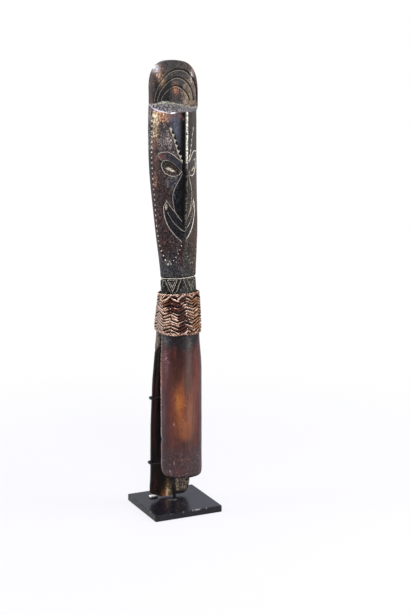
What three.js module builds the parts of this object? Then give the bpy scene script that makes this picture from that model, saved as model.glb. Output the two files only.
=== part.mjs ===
// Sago tongs carved from dark palm wood, standing in the small black steel stand that shows them.
// Millimetres, +Z up. The origin is the middle of the stand's underside, on the surface it stands on.
// The carved face looks toward -Y. Both blades hang down on either side of the stand's post.
import * as THREE from "three";

// The steel stand
const plateSide = 70;
const plateThickness = 6.5;
const plateBevel = 0.5;
const postDiameter = 3;
const postHeight = 112; // above the plate's top face
const wireDiameter = 1.1;
const sleeveWall = 0.25;
const sleeveClearance = 0.2; // around the wire, inside the sleeve
const upperClipBelow = 8; // from the post's top down to where the upper clip grips the blade
const lowerClipHeight = 38; // above the plate's top face
const upperClipDrop = 4.5; // the upper wires slope down from the post to the blade
const lowerClipDrop = 0;
const padLength = 8.6;
const padWidth = 5;
const padThickness = 1.8;
const clearance = 0.3; // between pieces that touch

// Heights of the tongs above the plate's top face
const rearTipHeight = padThickness + 2 * clearance;
const frontTipHeight = 31;
const bandBottomHeight = 173.5;
const bandHeight = 37.5;
const neckHeight = 227;
const ledgeHeight = 381;
const crestTopHeight = 427;

// The front piece: blade, neck, carved head and crest in one length of wood
const frontBladeHalfWidth = 20.9;
const frontBladeEdgeY = -15.8; // the plane of the blade's two long edges
const frontBladeCrown = 13.2; // how far the blade bulges forward of that plane
const frontBladeHollow = 7; // depth of the scooped inner side
const bladeLip = 2.2; // width of the flat edge beside each hollow
const frontTipRound = 16; // height over which the tip rounds in to its narrow end
const frontTipWidthShare = 0.82; // the narrow end's width over the blade's
const frontTipSkew = 1.9; // the tip's end leans this far to the right
const neckHalfWidth = 17.6;
const neckBackY = -9;
const neckDepth = 12;
const headHalfWidth = 23;
const headBackY = 5.6;
const headDepth = 38.4;
const headFullness = 1.22; // 1 is a sharp wedge, 2 an ellipse
const sideWallDepth = 8;
const ledgeDrop = 6.5; // the ledge slopes down from the crest to the brow
const crestThickness = 9.8;
const crestHalfWidth = 23.2;
const crestSetback = 2.6; // from the head's back to the crest's back
const crestArcHeight = 29.5;
const crestSquareness = 0.74; // 1 is a half ellipse, less has squarer shoulders
const crestSkew = -1; // the crest's top leans this far to the left

// The rear piece: a thick root inside the band and a thinner blade below it
const rearBladeHalfWidth = 20.9;
const rearBladeEdgeY = 7.6;
const rearBladeEdgeThickness = 3;
const rearBladeCrown = 4.5;
const rearBladeHollow = 2.6;
const rearTipRound = 28;
const rearTipSkew = -2.4;
const rootHalfWidth = 18;
const rootTopHalfWidth = 14.5;
const rootDepth = 13;
const rootTopDepth = 4.4;
const rootLean = 3.8; // how far the root's front face leans back, from its top to its foot

// The plaited band
const bandWall = 1.7;
const bandFit = 0.5; // between the front piece and the band
const bandSideSlack = 0.4; // more room at each side
const bandBackSlack = 4; // behind the root, room for its top when the blades close
const bandTilt = 1.6; // the lower rim dips this far at the front
const bandFullness = 2.6; // 2 is an ellipse, more is squarer

// Resolution
const archSteps = 22;
const flatSteps = 10;
const bandSides = 48;
const wireSides = 10;

const plateTop = plateThickness;
const postRadius = postDiameter / 2;
const wireRadius = wireDiameter / 2;
const sleeveRadius = wireRadius + sleeveClearance + sleeveWall;

const steel = { color: 0x2c2c31, roughness: 0.38, metalness: 0.9 };
const sleeve = { color: 0x141414, roughness: 0.6, metalness: 0 };
const felt = { color: 0xf1efe8, roughness: 0.95, metalness: 0 };
const handleWood = { color: 0x3a241c, roughness: 0.42, metalness: 0 };
const rearWood = { color: 0x2a1c16, roughness: 0.6, metalness: 0 };
const cane = { color: 0x9a5b38, roughness: 0.55, metalness: 0 };

const lerp = THREE.MathUtils.lerp;
const smooth = (value, from, to) => THREE.MathUtils.smoothstep(value, from, to);

// A closed surface over rings with equal point counts. Open runs get a cap at each end, and a closed
// run joins its last ring to its first.
function loft(rings, closed = false) {
  const count = rings[0].length;
  const positions = rings.flat().flatMap((p) => [p.x, p.y, p.z]);
  const index = [];
  const spans = closed ? rings.length : rings.length - 1;
  for (let r = 0; r < spans; r++) {
    const low = r * count;
    const high = ((r + 1) % rings.length) * count;
    for (let i = 0; i < count; i++) {
      const next = (i + 1) % count;
      index.push(low + i, low + next, high + next, low + i, high + next, high + i);
    }
  }
  if (!closed) {
    addCap(index, rings[0], 0, true);
    addCap(index, rings.at(-1), (rings.length - 1) * count, false);
  }
  const geometry = new THREE.BufferGeometry();
  geometry.setAttribute("position", new THREE.Float32BufferAttribute(positions, 3));
  geometry.setIndex(index);
  return geometry;
}

// A flat end face. The ring is laid out in its own plane so that a curved wire's end works too.
function addCap(index, ring, offset, reversed) {
  const centre = ring.reduce((sum, p) => sum.add(p), new THREE.Vector3()).divideScalar(ring.length);
  const across = ring[0].clone().sub(centre).normalize();
  const normal = new THREE.Vector3();
  ring.forEach((p, i) => {
    const next = ring[(i + 1) % ring.length];
    normal.add(p.clone().sub(centre).cross(next.clone().sub(centre)));
  });
  const up = normal.normalize().clone().cross(across);
  const flat = ring.map((p) => {
    const v = p.clone().sub(centre);
    return new THREE.Vector2(v.dot(across), v.dot(up));
  });
  for (const [a, b, c] of THREE.ShapeUtils.triangulateShape(flat, [])) {
    const corners = reversed ? [a, c, b] : [a, b, c];
    index.push(...corners.map((corner) => offset + corner));
  }
}

// A level section through either wooden piece. Its flat or hollow side lies at y = flat, its side walls
// run from there, and its crown reaches y = crown. facing is -1 for the front piece and 1 for the rear.
function woodRing({ z, halfWidth, flat, wall, crown, power, hollow = 0, facing, shift = 0 }) {
  const ring = [];
  const wallY = flat + facing * wall;
  for (let i = 0; i <= archSteps; i++) {
    const angle = (Math.PI * i) / archSteps;
    const x = Math.sign(Math.cos(angle)) * Math.abs(Math.cos(angle)) ** (2 / power);
    const y = Math.sin(angle) ** (2 / power);
    ring.push(new THREE.Vector3(facing * halfWidth * x, lerp(wallY, crown, y), z));
  }
  const inner = halfWidth - Math.min(bladeLip, halfWidth / 3);
  ring.push(new THREE.Vector3(-facing * halfWidth, flat, z));
  for (let i = 0; i <= flatSteps; i++) {
    const t = lerp(-1, 1, i / flatSteps);
    const y = flat + facing * hollow * (1 - t * t);
    ring.push(new THREE.Vector3(facing * inner * t, y, z));
  }
  ring.push(new THREE.Vector3(facing * halfWidth, flat, z));
  ring.forEach((point) => point.setX(point.x + shift));
  return ring;
}

// How much narrower a blade is near its rounded tip, as a share of its half width.
function tipShare(rise, roundHeight, tipWidthShare) {
  const t = Math.min(rise / roundHeight, 1);
  return lerp(tipWidthShare, 1, (1 - (1 - t) ** 3) ** 0.6);
}

const tipShift = (rise, roundHeight, skew) => skew * (1 - Math.min(rise / roundHeight, 1)) ** 2;

const frontTip = plateTop + frontTipHeight;
const bandLow = plateTop + bandBottomHeight;
const bandHigh = bandLow + bandHeight;
const neckLevel = plateTop + neckHeight;
const ledgeLevel = plateTop + ledgeHeight;
const rootTop = bandLow + bandHeight * 0.86;
const bladeFront = frontBladeEdgeY - frontBladeCrown;
const neckFront = neckBackY - neckDepth;
const headFront = headBackY - headDepth;
const shaftHalfWidth = frontBladeHalfWidth - 2.1; // at the band's lower rim
const shaftBackY = frontBladeEdgeY + 2.6;

// The back of the front piece leans away from the rear piece, from the neck down to the band's rim
function shaftBack(z) {
  const t = (z - bandLow) / (neckLevel - bandLow);
  return lerp(shaftBackY, neckBackY, Math.min(1, 1.25 * t));
}

// The front piece between its tip and the band
function bladeSection(z) {
  const rise = z - frontTip;
  const span = bandLow - frontTip;
  const up = smooth(rise, span * 0.72, span);
  const width = lerp(frontBladeHalfWidth, shaftHalfWidth, up);
  return {
    z, facing: -1, power: 2, crown: bladeFront, wall: lerp(1.2, 2.4, up),
    halfWidth: width * tipShare(rise, frontTipRound, frontTipWidthShare),
    shift: tipShift(rise, frontTipRound, frontTipSkew), flat: lerp(frontBladeEdgeY, shaftBackY, up),
    hollow: frontBladeHollow * (1 - up) * lerp(0.72, 1, smooth(rise, 0, frontTipRound)),
  };
}

// The front piece from the band's lower rim to the neck
function shaftSection(z) {
  const t = (z - bandLow) / (neckLevel - bandLow);
  return {
    z, facing: -1, power: 2, wall: 2.4, flat: shaftBack(z),
    halfWidth: lerp(shaftHalfWidth, neckHalfWidth, smooth(t, 0, 1)),
    crown: lerp(bladeFront, neckFront, smooth(t, -0.1, 0.95)),
  };
}

// How far the head has grown from the neck: share of height, of width, of the back, of the front
const headGrowth = [
  [0.03, 0.02, 0.03, 0.05],
  [0.08, 0.1, 0.1, 0.2],
  [0.14, 0.22, 0.18, 0.36],
  [0.22, 0.37, 0.32, 0.49],
  [0.32, 0.54, 0.47, 0.62],
  [0.42, 0.67, 0.63, 0.74],
  [0.52, 0.8, 0.79, 0.86],
  [0.62, 0.91, 0.91, 0.92],
  [0.72, 0.97, 0.98, 0.96],
  [0.86, 1, 1, 0.99],
  [0.95, 0.98, 0.98, 1],
  [1, 0.92, 0.96, 1],
];

function frontPiece() {
  const bladeSpan = bandLow - frontTip;
  const tipRise = [0, 0.03, 0.1, 0.23, 0.5, 1].map((t) => t * frontTipRound);
  const bladeRise = [0.3, 0.45, 0.6, 0.7, 0.8, 0.9, 1].map((t) => t * bladeSpan);
  const shaftShares = [0.2, 0.45, 0.7, 0.88, 1];
  const rings = [
    ...[...tipRise, ...bladeRise].map((rise) => woodRing(bladeSection(frontTip + rise))),
    ...shaftShares.map((t) => woodRing(shaftSection(lerp(bandLow, neckLevel, t)))),
  ];

  for (const [share, wide, back, front] of headGrowth) {
    rings.push(woodRing({
      z: lerp(neckLevel, ledgeLevel, share), facing: -1,
      power: lerp(2, headFullness, smooth(share, 0, 0.26)),
      halfWidth: lerp(neckHalfWidth, headHalfWidth, wide),
      wall: lerp(2.4, sideWallDepth, smooth(share, 0, 0.3)),
      flat: lerp(neckBackY, headBackY, back),
      crown: lerp(neckFront, headFront, front),
    }));
  }

  // The ledge slopes up to the crest, a flat plate with a rounded top
  const crestBack = headBackY - crestSetback;
  const crestTop = plateTop + crestTopHeight;
  const arcFoot = crestTop - crestArcHeight;
  const arcShares = [0, 0.2, 0.38, 0.54, 0.68, 0.8, 0.9, 0.97];
  const crestLevels = [[ledgeLevel + ledgeDrop, 1], ...arcShares.map((t) => {
    const angle = (t * Math.PI) / 2;
    const rise = Math.sin(angle) ** crestSquareness;
    return [arcFoot + crestArcHeight * rise, Math.cos(angle) ** crestSquareness];
  })];
  for (const [z, share] of crestLevels) {
    rings.push(woodRing({
      z, facing: -1, power: 4, halfWidth: crestHalfWidth * share, flat: crestBack,
      wall: crestThickness - 1.6, crown: crestBack - crestThickness,
      shift: crestSkew * Math.max(0, (z - arcFoot) / crestArcHeight),
    }));
  }
  return loft(rings);
}

// The rear piece as a table of sections: level, half width, front face, wall, back face and hollow.
// The clips, the pad and the band read it too, so they follow the wood.
function rearTable() {
  const tip = plateTop + rearTipHeight;
  const rootFoot = bandLow - 15;
  const topFront = shaftBack(rootTop) + clearance;
  const footFront = topFront + rootLean;
  const shoulder = rootFoot - 8;
  const bladeStraight = plateTop + lowerClipHeight * 2;
  const bladeBack = rearBladeEdgeY + rearBladeEdgeThickness + rearBladeCrown;
  const rootBack = footFront + rootDepth;
  const topBack = topFront + rootTopDepth;
  const half = rearBladeHalfWidth;
  const edge = rearBladeEdgeThickness;
  const edgeY = rearBladeEdgeY;
  const bend = (t) => lerp(bladeStraight, shoulder, t);
  const round = (t) => tip + t * rearTipRound;
  return [
    [tip, half * 0.72, edgeY + 0.4, edge, bladeBack - 1.5, 0.8],
    [round(0.025), half * 0.83, edgeY + 0.3, edge, bladeBack - 0.8, 1],
    [round(0.08), half * 0.91, edgeY + 0.2, edge, bladeBack - 0.3, 1.3],
    [round(0.18), half * 0.965, edgeY + 0.1, edge, bladeBack, 1.7],
    [round(0.4), half, edgeY, edge, bladeBack, 2.2],
    [round(1), half, edgeY, edge, bladeBack, rearBladeHollow],
    [bladeStraight * 0.72, half, edgeY - 0.5, edge, bladeBack - 0.4, rearBladeHollow],
    [bladeStraight, half, edgeY - 1.4, edge, bladeBack - 1.2, rearBladeHollow],
    [bend(0.33), half - 0.4, edgeY - 3, edge, bladeBack - 2.8, rearBladeHollow],
    [bend(0.66), half - 0.8, edgeY - 5.6, edge, bladeBack - 5.2, rearBladeHollow],
    [shoulder, lerp(half, rootHalfWidth, 0.5), footFront + 4, edge, rootBack - 0.6, 1.4],
    [rootFoot, lerp(half, rootHalfWidth, 0.7), footFront, rootDepth * 0.5, rootBack - 0.2, 0],
    [bandLow, rootHalfWidth, lerp(footFront, topFront, 0.25), rootDepth * 0.42, rootBack, 0],
    [lerp(bandLow, rootTop, 0.5), lerp(rootHalfWidth, rootTopHalfWidth, 0.4),
      lerp(footFront, topFront, 0.65), rootDepth * 0.22, lerp(rootBack, topBack, 0.5), 0],
    [rootTop, rootTopHalfWidth, topFront, 1, topBack, 0],
  ];
}

// The rear piece's values at any level, between the rows of its table
function rearSection(z) {
  const rows = rearTable();
  const next = THREE.MathUtils.clamp(rows.findIndex((row) => row[0] >= z), 0, rows.length - 1);
  const high = z > rows.at(-1)[0] ? rows.at(-1) : rows[next];
  const low = high === rows.at(-1) && z > high[0] ? high : rows[Math.max(next - 1, 0)];
  const t = high[0] === low[0] ? 0 : (z - low[0]) / (high[0] - low[0]);
  const values = low.slice(1).map((value, i) => lerp(value, high[i + 1], t));
  const [halfWidth, flat, wall, crown, hollow] = values;
  const shift = tipShift(z - rows[0][0], rearTipRound, rearTipSkew);
  return { z, facing: 1, power: 2, halfWidth, flat, wall, crown, hollow, shift };
}

const rearPiece = () => loft(rearTable().map(([z]) => woodRing(rearSection(z))));

// One level of the band: an oval drawn round both pieces of wood, its lower rim dipping at the front
function bandRing(share, inset) {
  const z = bandLow + share * bandHeight;
  const rimDip = bandTilt * (1 - share);
  const front = shaftSection(z - rimDip);
  const outward = bandFit + bandWall - inset;
  const halfWidth = front.halfWidth + bandSideSlack + outward;
  const frontY = front.crown - outward;
  const backY = rearSection(z).crown + bandBackSlack + outward;
  const centreY = (frontY + backY) / 2;
  const halfDepth = (backY - frontY) / 2;
  const ring = [];
  for (let i = 0; i < bandSides; i++) {
    const angle = (2 * Math.PI * i) / bandSides;
    const x = Math.sign(Math.cos(angle)) * Math.abs(Math.cos(angle)) ** (2 / bandFullness);
    const y = Math.sign(Math.sin(angle)) * Math.abs(Math.sin(angle)) ** (2 / bandFullness);
    const dip = rimDip * Math.sin(angle);
    ring.push(new THREE.Vector3(halfWidth * x, centreY + halfDepth * y, z + dip));
  }
  return ring;
}

function plaitedBand() {
  const shares = [0, 0.22, 0.46, 0.72, 1];
  const outside = shares.map((share) => bandRing(share, 0));
  const inside = shares.map((share) => bandRing(share, bandWall)).reverse();
  return loft([...outside, ...inside], true);
}

function basePlate() {
  const half = plateSide / 2 - plateBevel;
  const outline = new THREE.Shape([
    new THREE.Vector2(-half, -half), new THREE.Vector2(half, -half),
    new THREE.Vector2(half, half), new THREE.Vector2(-half, half),
  ]);
  outline.holes.push(new THREE.Path().absarc(0, 0, postRadius + clearance + plateBevel, 0, 2 * Math.PI));
  const geometry = new THREE.ExtrudeGeometry(outline, {
    depth: plateThickness - 2 * plateBevel, bevelThickness: plateBevel, bevelSize: plateBevel,
    bevelSegments: 1, curveSegments: 12,
  });
  return geometry.translate(0, 0, plateBevel);
}

function post() {
  const bottom = 1;
  const length = plateTop + postHeight - bottom;
  const geometry = new THREE.CylinderGeometry(postRadius, postRadius, length, 20);
  return geometry.rotateX(Math.PI / 2).translate(0, 0, bottom + length / 2);
}

// The middle line of one clip's wire: out from the post's side, across the front of the rear blade,
// round its edge and a little way in behind it.
function clipCurve(side, height, drop) {
  const z = plateTop + height;
  const { halfWidth, flat: front, wall, crown: back } = rearSection(z);
  const reach = halfWidth + clearance + sleeveRadius;
  const before = front - clearance - sleeveRadius;
  const corner = front + wall;
  const tipX = halfWidth - 1.4;
  const rise = (1 - (tipX / halfWidth) ** 2) ** 0.5 * (back - corner);
  const behind = corner + rise + clearance + sleeveRadius + 0.3;
  const start = postRadius + clearance + 0.1;
  const points = [
    [start, 0, drop],
    [start + 0.3 * (halfWidth - start), before * 0.15, drop * 0.85],
    [start + 0.7 * (halfWidth - start), before * 0.6, drop * 0.4],
    [halfWidth + 0.1, before - 0.1, drop * 0.05],
    [reach + 0.2, front + 0.2, 0],
    [reach + 0.2, lerp(front, corner, 0.8), 0],
    [reach - 0.6, lerp(corner, behind, 0.75), 0],
    [tipX, behind, 0],
  ];
  return new THREE.CatmullRomCurve3(points.map(([x, y, up]) => new THREE.Vector3(side * x, y, z + up)));
}

// Round rings along a stretch of a curve. A stretch may run backward, which turns it inside out.
function curveRings(curve, radius, from, to, steps) {
  const rings = [];
  for (let s = 0; s <= steps; s++) {
    const u = lerp(from, to, s / steps);
    const along = curve.getTangentAt(u);
    const sideways = new THREE.Vector3(0, 0, 1).cross(along).normalize();
    const upward = along.clone().cross(sideways);
    const centre = curve.getPointAt(u);
    const ring = [];
    for (let i = 0; i < wireSides; i++) {
      const angle = (2 * Math.PI * i) / wireSides;
      ring.push(centre.clone()
        .addScaledVector(sideways, radius * Math.cos(angle))
        .addScaledVector(upward, radius * Math.sin(angle)));
    }
    rings.push(ring);
  }
  return rings;
}

const sleeveStartShare = 0.68; // of the way along a clip's curve
const wireEndShare = 0.97;

function clipWire(curve) {
  return loft(curveRings(curve, wireRadius, 0, wireEndShare, 26));
}

function clipSleeve(curve) {
  const bore = wireRadius + sleeveClearance;
  const boreEnd = lerp(wireEndShare, 1, 0.4);
  return loft([
    ...curveRings(curve, bore, boreEnd, sleeveStartShare, 12),
    ...curveRings(curve, sleeveRadius, sleeveStartShare, 1, 13),
  ]);
}

// The pale pad that the rear blade's left corner rests on
function restPad() {
  const halfWidth = rearBladeHalfWidth;
  const y = rearBladeEdgeY + rearBladeEdgeThickness + rearBladeCrown;
  const geometry = new THREE.BoxGeometry(padLength, padWidth, padThickness);
  return geometry.translate(-halfWidth * 0.76, y, plateTop + clearance + padThickness / 2);
}

const tongs = new THREE.Group();

function add(name, geometry, finish) {
  const mesh = new THREE.Mesh(geometry, new THREE.MeshStandardMaterial(finish));
  mesh.name = name;
  tongs.add(mesh);
}

add("front_blade_handle", frontPiece(), handleWood);
add("rear_blade", rearPiece(), rearWood);
add("plaited_band", plaitedBand(), cane);
add("base_plate", basePlate(), steel);
add("post", post(), steel);
add("rest_pad", restPad(), felt);
const clips = [
  ["upper", postHeight - upperClipBelow, upperClipDrop],
  ["lower", lowerClipHeight, lowerClipDrop],
];
for (const [level, height, drop] of clips) {
  for (const [sideName, side] of [["left", -1], ["right", 1]]) {
    const curve = clipCurve(side, height, drop);
    add(`${level}_${sideName}_clip`, clipWire(curve), steel);
    add(`${level}_${sideName}_sleeve`, clipSleeve(curve), sleeve);
  }
}

export default tongs;
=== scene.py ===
"""Sago tongs carved from dark palm wood, on a small black steel stand.
Sizes are in millimetres and become metres where a mesh is made. The face looks toward -Y."""
import math

import bpy
import numpy as np
from mathutils import Matrix, Vector


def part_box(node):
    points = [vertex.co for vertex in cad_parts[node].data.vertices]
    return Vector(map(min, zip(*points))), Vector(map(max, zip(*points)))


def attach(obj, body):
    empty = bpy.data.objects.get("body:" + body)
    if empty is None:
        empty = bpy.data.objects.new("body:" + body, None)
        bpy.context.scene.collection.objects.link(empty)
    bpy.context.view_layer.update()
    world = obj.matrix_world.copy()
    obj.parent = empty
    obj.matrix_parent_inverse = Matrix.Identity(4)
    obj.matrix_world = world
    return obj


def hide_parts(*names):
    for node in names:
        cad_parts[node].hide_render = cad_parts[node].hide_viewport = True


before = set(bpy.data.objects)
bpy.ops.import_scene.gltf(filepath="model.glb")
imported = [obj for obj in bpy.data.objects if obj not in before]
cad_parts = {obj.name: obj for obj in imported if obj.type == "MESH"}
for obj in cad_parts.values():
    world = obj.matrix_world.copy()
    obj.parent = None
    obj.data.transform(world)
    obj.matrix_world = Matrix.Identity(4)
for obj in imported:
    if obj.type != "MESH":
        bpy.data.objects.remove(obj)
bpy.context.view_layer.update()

MM = 0.001
SCENE = bpy.context.scene
STAND, FRONT = "stand_and_rear_blade", "front_blade"

# Sizes shared with the CAD source
PLATE_SIDE, PLATE_TOP, POST_RADIUS, POST_TOP = 70.0, 6.5, 1.5, 118.5
CLEARANCE = 0.3
WIRE_RADIUS, SLEEVE_RADIUS = 0.55, 1.0
FRONT_TIP, BAND_LOW, BAND_HIGH, NECK, LEDGE, CREST_TOP = 37.5, 180.0, 217.5, 233.5, 387.5, 433.45
LEDGE_BACK = LEDGE + 6.5
BLADE_HALF, BLADE_EDGE_Y, BLADE_FRONT, BLADE_HOLLOW = 20.9, -15.8, -29.0, 7.0
SHAFT_HALF, SHAFT_BACK = 18.8, -13.2
NECK_HALF, NECK_BACK, NECK_FRONT = 17.6, -9.0, -21.0
HEAD_HALF, HEAD_BACK, HEAD_FRONT, HEAD_WALL, HEAD_FULLNESS = 23.0, 5.6, -32.8, 8.0, 1.22
CREST_HALF, CREST_BACK, CREST_FRONT, CREST_ARC = 23.2, 3.0, -6.8, 29.5
TIP_ROUND, TIP_SHARE, FRONT_SKEW, REAR_ROUND, REAR_SKEW = 16.0, 0.82, 1.9, 28.0, -2.4
CREST_SQUARE, CREST_SKEW, CREST_WALL, CREST_FULLNESS = 0.74, -1.0, 8.2, 4.0
TIP_WALL, SHAFT_WALL, ROUND = 1.2, 2.4, 2.0

# Looks
# Painted shade along the sides of carved lines
GROOVE_SHADE = (0.006, 0.005, 0.006, 1)
COAT_BLACK, COAT_BLUE, COAT_RUBBED = (0.007, 0.006, 0.01, 1), (0.012, 0.011, 0.017, 1), (0.3, 0.29, 0.29, 1)
TUBE_DARK, TUBE_PALE = (0.012, 0.012, 0.013, 1), (0.03, 0.03, 0.032, 1)
FELT_SHADE, FELT_WHITE, FELT_DARK_BOTTOM = (0.9, 0.89, 0.87, 1), (1.0, 1.0, 0.98, 1), (0.05, 0.048, 0.052, 1)
WHITE, COOL_WHITE = (1, 1, 1, 1), (0.93, 0.94, 1.08, 1)
FLOOR_LIT, FLOOR_GLOW, FLOOR_PLAIN = (0.13, 0.13, 0.13, 1), (0.965, 0.965, 1.02, 1), (0.8, 0.8, 0.82, 1)
ROOM_GLOSS, BACKDROP_GLOSS, ROOM_FILL, BACKDROP_FILL = 0.1, 0.55, 0.3, 0.6


def lerp(a, b, t):
    return a + (b - a) * t


def ramp(v, low, high):
    """0 at low and 1 at high, with soft ends."""
    t = np.clip((np.asarray(v, float) - low) / (high - low), 0, 1)
    return t * t * (3 - 2 * t)


def bell(v, reach):
    return np.exp(-((v / reach) ** 2))


def oval(u, v, middle, reach):
    """1 in the middle of an oval patch, falling softly to 0."""
    return bell(u - middle[0], reach[0]) * bell(v - middle[1], reach[1])


def squared(wave, power):
    """A sine or cosine with fuller shoulders, for rings between an ellipse and a rectangle."""
    return np.sign(wave) * np.abs(wave) ** power


def turns(sides):
    return np.arange(sides) / sides * 2 * math.pi


def unit(vectors):
    return vectors / np.linalg.norm(vectors, axis=1, keepdims=True)


def run_along(line):
    """The distance along a line at each of its points."""
    return np.r_[0, np.cumsum(np.linalg.norm(np.diff(line, axis=0), axis=1))]


def rgb(*screen):
    """A colour as written on a screen, 0 to 255, in linear values."""
    c = np.array(screen, float) / 255
    return np.where(c <= 0.04045, c / 12.92, ((c + 0.055) / 1.055) ** 2.4)


def lattice(i, j, k, seed):
    mask = np.int64(0xFFFFFFFF)
    h = (i * 374761393 + j * 668265263 + k * 1442695041 + seed * 974634777) & mask
    h = ((h ^ (h >> 13)) * 1274126177) & mask
    h = ((h ^ (h >> 15)) * 2246822519) & mask
    return ((h ^ (h >> 16)) & 0xFFFF) / 65535.0


def noise(points, across, up, seed):
    """Smooth random values from -1 to 1, in patches of a size across and up, in mm."""
    p = points / np.array([across, across, up], float) + 1000.0
    base = np.floor(p).astype(np.int64)
    f = p - base
    f = f * f * (3 - 2 * f)
    total = 0.0
    for corner in np.ndindex(2, 2, 2):
        share = np.where(corner, f, 1 - f).prod(-1)
        total = total + share * lattice(*np.moveaxis(base + corner, -1, 0), seed)
    return 2 * total - 1


def blotches(points, across, up, seed):
    """Noise with two finer layers."""
    return (noise(points, across, up, seed) + 0.5 * noise(points, across / 2.1, up / 2.1, seed + 1)
            + 0.25 * noise(points, across / 4.3, up / 4.3, seed + 2)) / 1.4


def blend_to(colours, target, amount):
    return colours + (np.asarray(target) - colours) * np.clip(amount, 0, 1)[:, None]


class Coat:
    """How a stretch of wood looks at each of its points, and how deep it is cut.

    tint is its colour, worn the colour where it is rubbed through and wear how much of it is. cut is the
    distance in mm to the nearest carved line, with lime for how white its filling is, groove for how much
    painted shade darkens its sides and lip for how much painted highlight lights its inner edge. dull
    takes the polish away."""
    MARKS = "tint", "worn", "wear", "cut", "lime", "groove", "lip", "dull"

    def __init__(self, count, tint, worn, wear):
        self.tint, self.worn = np.tile(rgb(*tint), (count, 1)), np.tile(rgb(*worn), (count, 1))
        self.wear, self.cut = np.full(count, wear), np.full(count, 9.0)
        self.depth, self.lime, self.groove, self.lip, self.dull = np.zeros((5, count))

    def paint(self, tint, amount):
        self.tint = blend_to(self.tint, rgb(*tint), amount)

    def rub(self, worn, wear, amount):
        self.worn = blend_to(self.worn, rgb(*worn), amount)
        self.wear = lerp(self.wear, wear, np.clip(amount, 0, 1))

    def both(self, amount, tint, patchy, worn, wear):
        """Paints a patch by its amount and a patchy share of it, and rubs all of it."""
        self.paint(tint, amount * patchy)
        self.rub(worn, wear, amount)

    def line(self, distance, lime, groove=0.6, lip=0.0):
        """A carved line, which wins where it is nearer than the lines before it."""
        near_by = 1 - ramp(np.abs(distance), 1.2, 1.9)
        closer = np.abs(distance) < np.abs(self.cut)
        self.cut = np.where(closer, distance, self.cut)
        for key, value in (("lime", lime), ("groove", groove), ("lip", lip)):
            setattr(self, key, np.where(closer, value * near_by, getattr(self, key)))

    def put(self, rows, part):
        for key, values in vars(part).items():
            getattr(self, key)[rows] = values


def add_object(name, data):
    made = bpy.data.objects.new(name, data)
    SCENE.collection.objects.link(made)
    return made


def make_piece(name, points, faces, body, slot, replaced=(), **marks):
    """One mesh from points in mm, riding on a body, with colours and masks for its material to read."""
    mesh = bpy.data.meshes.new(name)
    mesh.from_pydata((np.asarray(points, float) * MM).tolist(), [], faces)
    mesh.validate()
    for key, values in marks.items():
        if np.ndim(values) == 2:
            values = np.c_[values, np.ones(len(values))].astype(np.float32).ravel()
            mesh.attributes.new(key, "FLOAT_COLOR", "POINT").data.foreach_set("color", values)
        else:
            mesh.attributes.new(key, "FLOAT", "POINT").data.foreach_set("value", values.astype(np.float32))
    mesh.polygons.foreach_set("use_smooth", [True] * len(mesh.polygons))
    mesh.materials.append(MATERIALS[slot])
    piece = add_object(name, mesh)
    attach(piece, body)
    if replaced:
        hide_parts(*replaced)


def wooden_piece(name, grid, coat, body, slot, replaced):
    """A piece of wood from a grid of rings, cut to its coat's depth."""
    rings, count = grid.shape[:2]
    around, along = np.roll(grid, -1, 1) - np.roll(grid, 1, 1), np.gradient(grid, axis=0)
    outward = np.cross(around, along)
    outward /= np.maximum(np.linalg.norm(outward, axis=2, keepdims=True), 1e-9)
    moved = grid + outward * coat.depth.reshape(rings, count)[:, :, None]
    make_piece(name, moved.reshape(-1, 3), tube_faces(rings, count), body, slot, replaced,
               **{key: getattr(coat, key) for key in Coat.MARKS})


def tube_faces(rings, count, closed=False, start=0):
    """Faces over rings of points, each a loop of count points, with caps unless the rings close."""
    faces = []
    for r in range(rings if closed else rings - 1):
        low, high = start + r * count, start + ((r + 1) % rings) * count
        faces += [(low + i, low + (i + 1) % count, high + (i + 1) % count, high + i) for i in range(count)]
    if not closed:
        faces.append(tuple(start + i for i in reversed(range(count))))
        faces.append(tuple(start + (rings - 1) * count + i for i in range(count)))
    return faces


# Materials

# The lime in carved lines, and the painted highlight on their inner lips
LIME_COLOUR, LIP_HIGHLIGHT = (*rgb(208, 200, 186), 1), (*rgb(150, 141, 129), 1)


class Value:
    """What a node gives out. Arithmetic on it adds the nodes that work it out."""

    def __init__(self, tree, socket):
        self.tree, self.socket = tree, socket

    def maths(self, operation, a, b=0.0):
        return self.tree.add("Math", {0: a, 1: b}, operation=operation)

    def __add__(self, other):
        return self.maths("ADD", self, other)

    def __mul__(self, other):
        return self.maths("MULTIPLY", self, other)

    def __sub__(self, other):
        return self.maths("SUBTRACT", self, other)

    def __rsub__(self, other):
        return self.maths("SUBTRACT", other, self)

    def __abs__(self):
        return self.maths("ABSOLUTE", self)

    def most(self, other):
        return self.maths("MAXIMUM", self, other)

    def remap(self, low, high, to_low, to_high, **settings):
        ends = {"Value": self, "From Min": low, "From Max": high, "To Min": to_low, "To Max": to_high}
        return self.tree.add("MapRange", ends, **settings)

    def step(self, low, high):
        """0 below low, 1 above high."""
        return self.remap(low, high, 0.0, 1.0, interpolation_type="SMOOTHSTEP")

    def shade(self, amount):
        """This colour times a grey amount."""
        grey = self.tree.add("CombineColor", {"Red": amount, "Green": amount, "Blue": amount})
        return self.tree.mix(1.0, self, grey, "MULTIPLY")


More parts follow.
